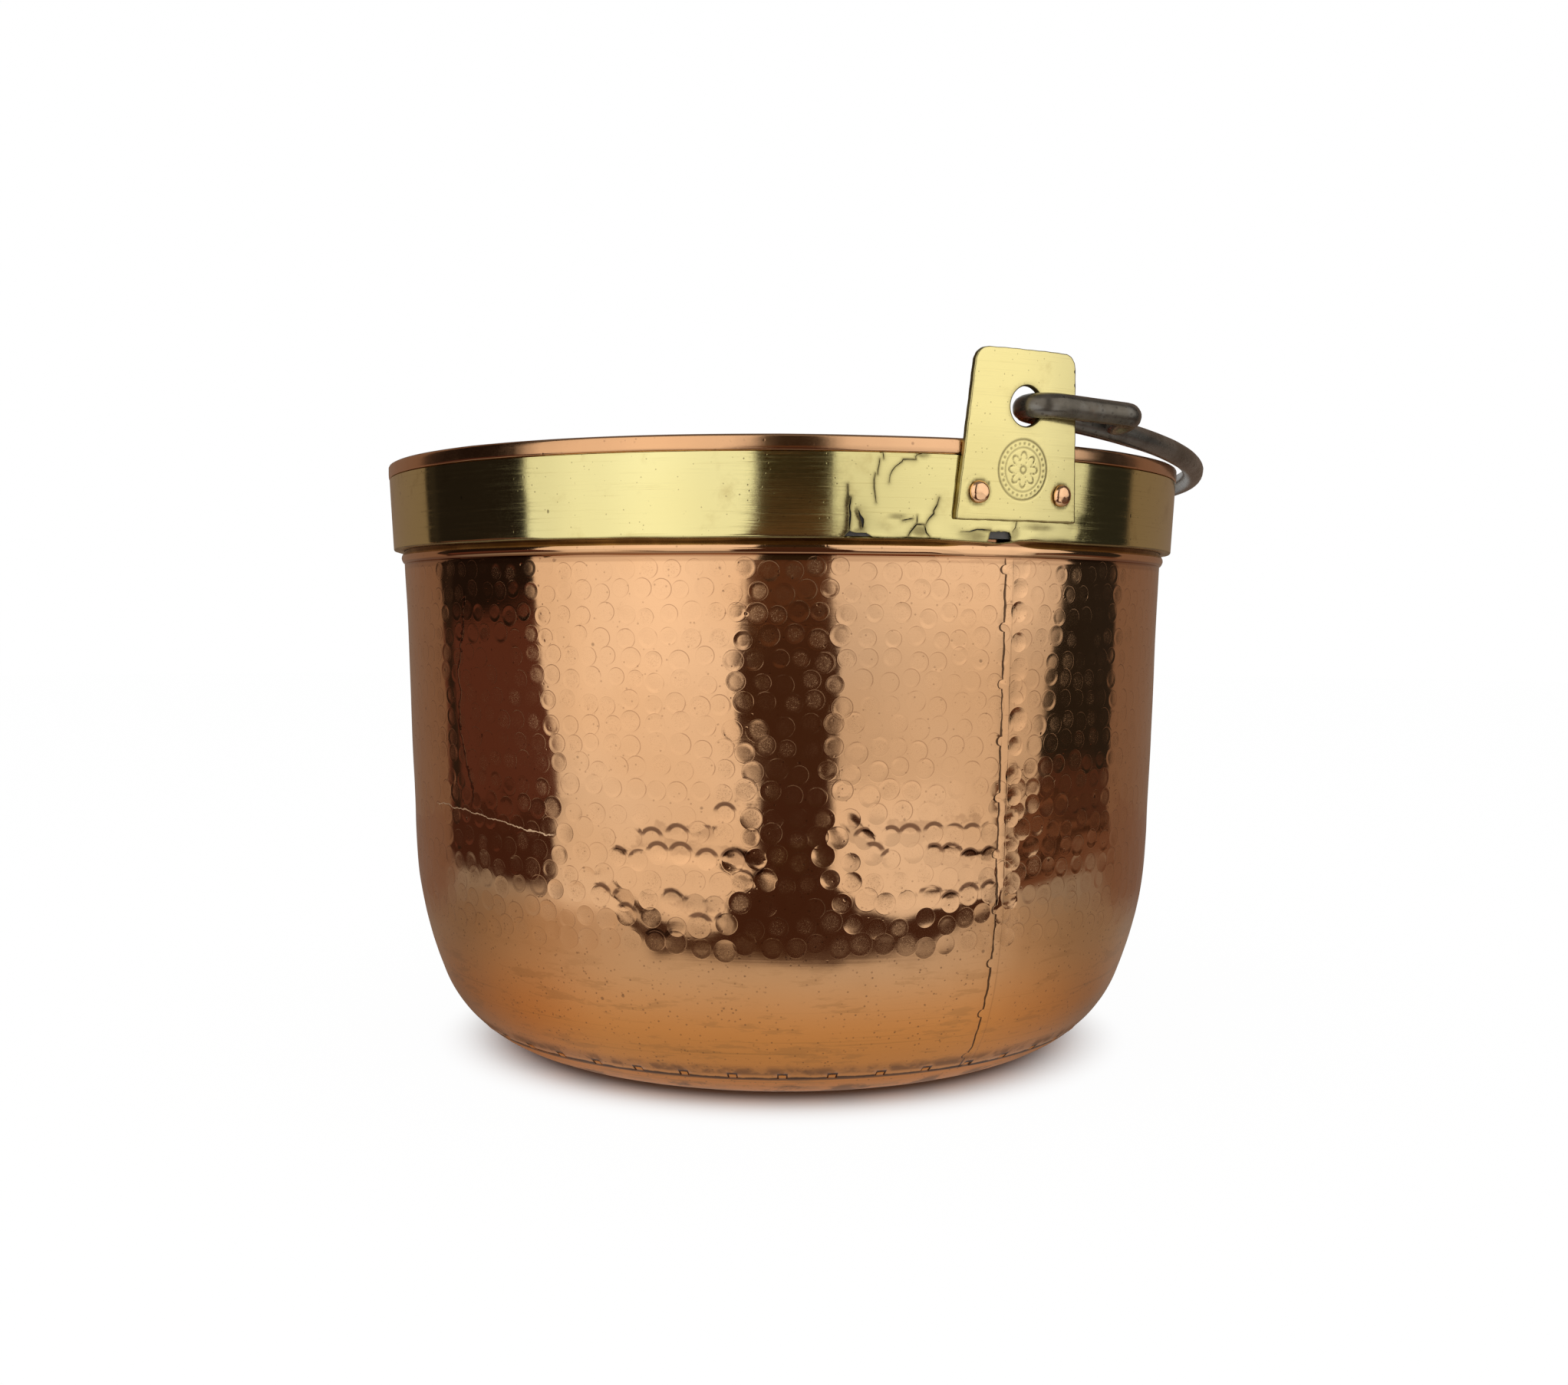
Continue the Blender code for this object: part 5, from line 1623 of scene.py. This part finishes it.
def make_floor_card():
    """The floor in the copper: pale near the vessel, though darker in a painted shadow at its foot and warmed
    by painted light beside it, with the column's shade and the dark past its edge.
    """
    paint = Paint("floor_card_light")
    turn, off = round_from_camera(paint), paint.distance(paint.x, paint.y)
    aside = abs(turn + 4.0)
    level = aside.steps(35, 88, 0.60, 0.28) + aside.steps(135, 172, 0.0, 0.22)
    level = off.steps(0.36, 0.55) * turn.window(-60, 58, 4) * 0.26 + level
    # Painted shadow: the floor darkens towards the vessel's foot
    level = level * off.steps(0.14, 0.27, 0.68, 1.0) * off.steps(0.128, 0.137, 0.5, 1.0)
    # Painted light: near the vessel the floor warms to the sides, as if lit from the copper
    tint = paint.mix(turn.steps(30, 66), grey(1.0), (1.0, 0.88, 0.74))
    tint = paint.mix(turn.steps(-28, -56), tint, (0.84, 0.68, 0.53))
    tint = paint.mix(off.steps(0.36, 0.56), tint, grey(1.0))
    paint.colour = paint.mix(level, grey(0.0), tint)
    sides = aside.steps(90, 106) * off.steps(0.30, 0.50) * aside.steps(176, 160)
    paint.tint(sides, (0.19, 0.115, 0.08), 0.9)

    # Dark past the floor's edge to the left, and streaks of it to the right
    edge = (-60.0 - turn).at_least(0.0) * 0.0041 + 0.53
    beyond = (off - edge).steps(-0.08, 0.07) * turn.window(-108, off * -11.0 - 52.0, 1.2)
    paint.tint(beyond, (0.055, 0.024, 0.018))
    past = off - ((turn - 62.0).at_least(0.0) * 0.0042 + 0.54)
    dim = paint.mix(past.window(0.105, 0.185, 0.02), (0.15, 0.08, 0.055), (0.035, 0.018, 0.012))
    dim = paint.mix(off.steps(0.93, 0.96), dim, (0.05, 0.028, 0.02))
    paint.tint(past.steps(-0.06, 0.05) * turn.window(62, 106, 2), dim)

    # The dark column, and the dark at its foot whose ends bend away from the vessel
    body = turn.window(off.steps(0.52, 0.76, -13.0, -5.5), off.steps(0.50, 0.74, 18.0, 13.0), 1.2)
    body = body * off.steps(0.325, 0.345)
    bend = (-26.0 - turn).at_least(0.0) * 0.0115 + (turn - 30.0).at_least(0.0) * 0.0057
    lobe = (paint.noise(34, 2) - 0.5) * 0.035 + abs(turn - 3.0).steps(20, 4, 0.314, 0.296)
    past = off - (bend + lobe)
    deep = turn.steps(-4, 20, 0.068, 0.125) * turn.steps(-46, -34)
    feet = past.steps(-0.010, 0.010) * (past - deep).steps(0.012, -0.012) * turn.window(-45, 56, 2)
    paint.tint(body.at_least(feet), (0.055, 0.026, 0.018))
    rings = ((FLOOR_CARD_INNER, FLOOR_CARD_HEIGHT), (CARD_RADIUS, FLOOR_CARD_HEIGHT))
    hang_card(stage_sheet("floor_card", rings), paint)


def make_ceiling():
    """A dim sheet overhead, which the metal's upper sides see."""
    paint = Paint("ceiling_light")
    paint.colour = paint.mix(paint.noise(1.2, 1), grey(0.16), grey(0.30))
    hang_card(stage_sheet("reflection_ceiling", ((CARD_RADIUS, CARD_HEIGHT),)), paint)


def make_floor():
    """A white floor that takes the vessel's shadow near it, deepened there by a painted brown shadow in its
    colour, and is plain white further out.
    """
    floor = stage_sheet("floor", ((FLOOR_RADIUS, 0.0),))
    paint = Paint("floor_sheet")
    off = paint.distance(paint.x, paint.y)
    # Painted shadow: the floor's colour turns dark brown at the vessel's foot
    colour = paint.mix(off.steps(0.126, 0.166), (0.42, 0.31, 0.26), grey(0.97))
    for name, value in (("Roughness", 0.9), ("Specular IOR Level", 0.0), ("Base Color", colour)):
        paint.put(paint.shader.inputs[name], value)
    light = paint.add("Emission", {"Color": WHITE, "Strength": 1.0})
    clear = paint.rays("Camera", "Glossy") * off.steps(0.136, 0.190, 0.0, 0.97)
    both = paint.add("MixShader", {0: clear, 1: paint.shader.outputs[0], 2: light.outputs[0]})
    paint.put(paint.surface, both.outputs[0])
    floor.data.materials.append(paint.material)


def make_world():
    """Soft light from all round, behind which camera and reflections see plain white."""
    world = bpy.data.worlds.new("studio")
    bpy.context.scene.world = world
    world.use_nodes = True
    world.node_tree.nodes.clear()
    nodes = Nodes(world.node_tree)
    soft = nodes.add("Background", {"Color": WHITE, "Strength": 0.9})
    plain = nodes.add("Background", {"Color": WHITE, "Strength": 1.0})
    seen = nodes.rays("Camera", "Glossy", "Transmission")
    both = nodes.add("MixShader", {0: seen, 1: soft.outputs[0], 2: plain.outputs[0]})
    nodes.add("OutputWorld", {"Surface": both.outputs[0]})


def make_lamp():
    lamp = bpy.data.lights.new("soft_box", "AREA")
    lamp.shape = "DISK"
    lamp.size = 1.2
    lamp.energy = 9
    obj = bpy.data.objects.new("soft_box", lamp)
    obj.matrix_world = Matrix.Translation(LAMP_PLACE) @ LAMP_AIM.to_track_quat("Z", "Y").to_matrix().to_4x4()
    obj.visible_glossy = False
    bpy.context.scene.collection.objects.link(obj)


def make_camera():
    """The photograph's camera, from the fit to its outline."""
    yaw, pitch, roll = 0.00134, 0.0449, 0.00424
    ahead = CAMERA_TURN + math.pi - yaw
    forward = Vector((math.cos(ahead) * math.cos(pitch), math.sin(ahead) * math.cos(pitch), -math.sin(pitch)))
    right = forward.cross(Vector((0, 0, 1))).normalized()
    up = right.cross(forward)
    turned_right = right * math.cos(roll) + up * math.sin(roll)
    turned_up = up * math.cos(roll) - right * math.sin(roll)
    camera = bpy.data.objects.new("camera", bpy.data.cameras.new("camera"))
    camera.data.lens = CAMERA_LENS
    camera.data.sensor_width = 36
    camera.data.clip_start = 0.01
    place = Matrix((turned_right, turned_up, -forward)).transposed().to_4x4()
    camera.matrix_world = Matrix.Translation(CAMERA_PLACE) @ place
    bpy.context.scene.collection.objects.link(camera)
    bpy.context.scene.camera = camera


make_surround()
make_floor_card()
make_ceiling()
make_floor()
make_world()
make_lamp()
make_camera()
bpy.context.scene.view_settings.view_transform = "Standard"

bpy.context.view_layer.update()
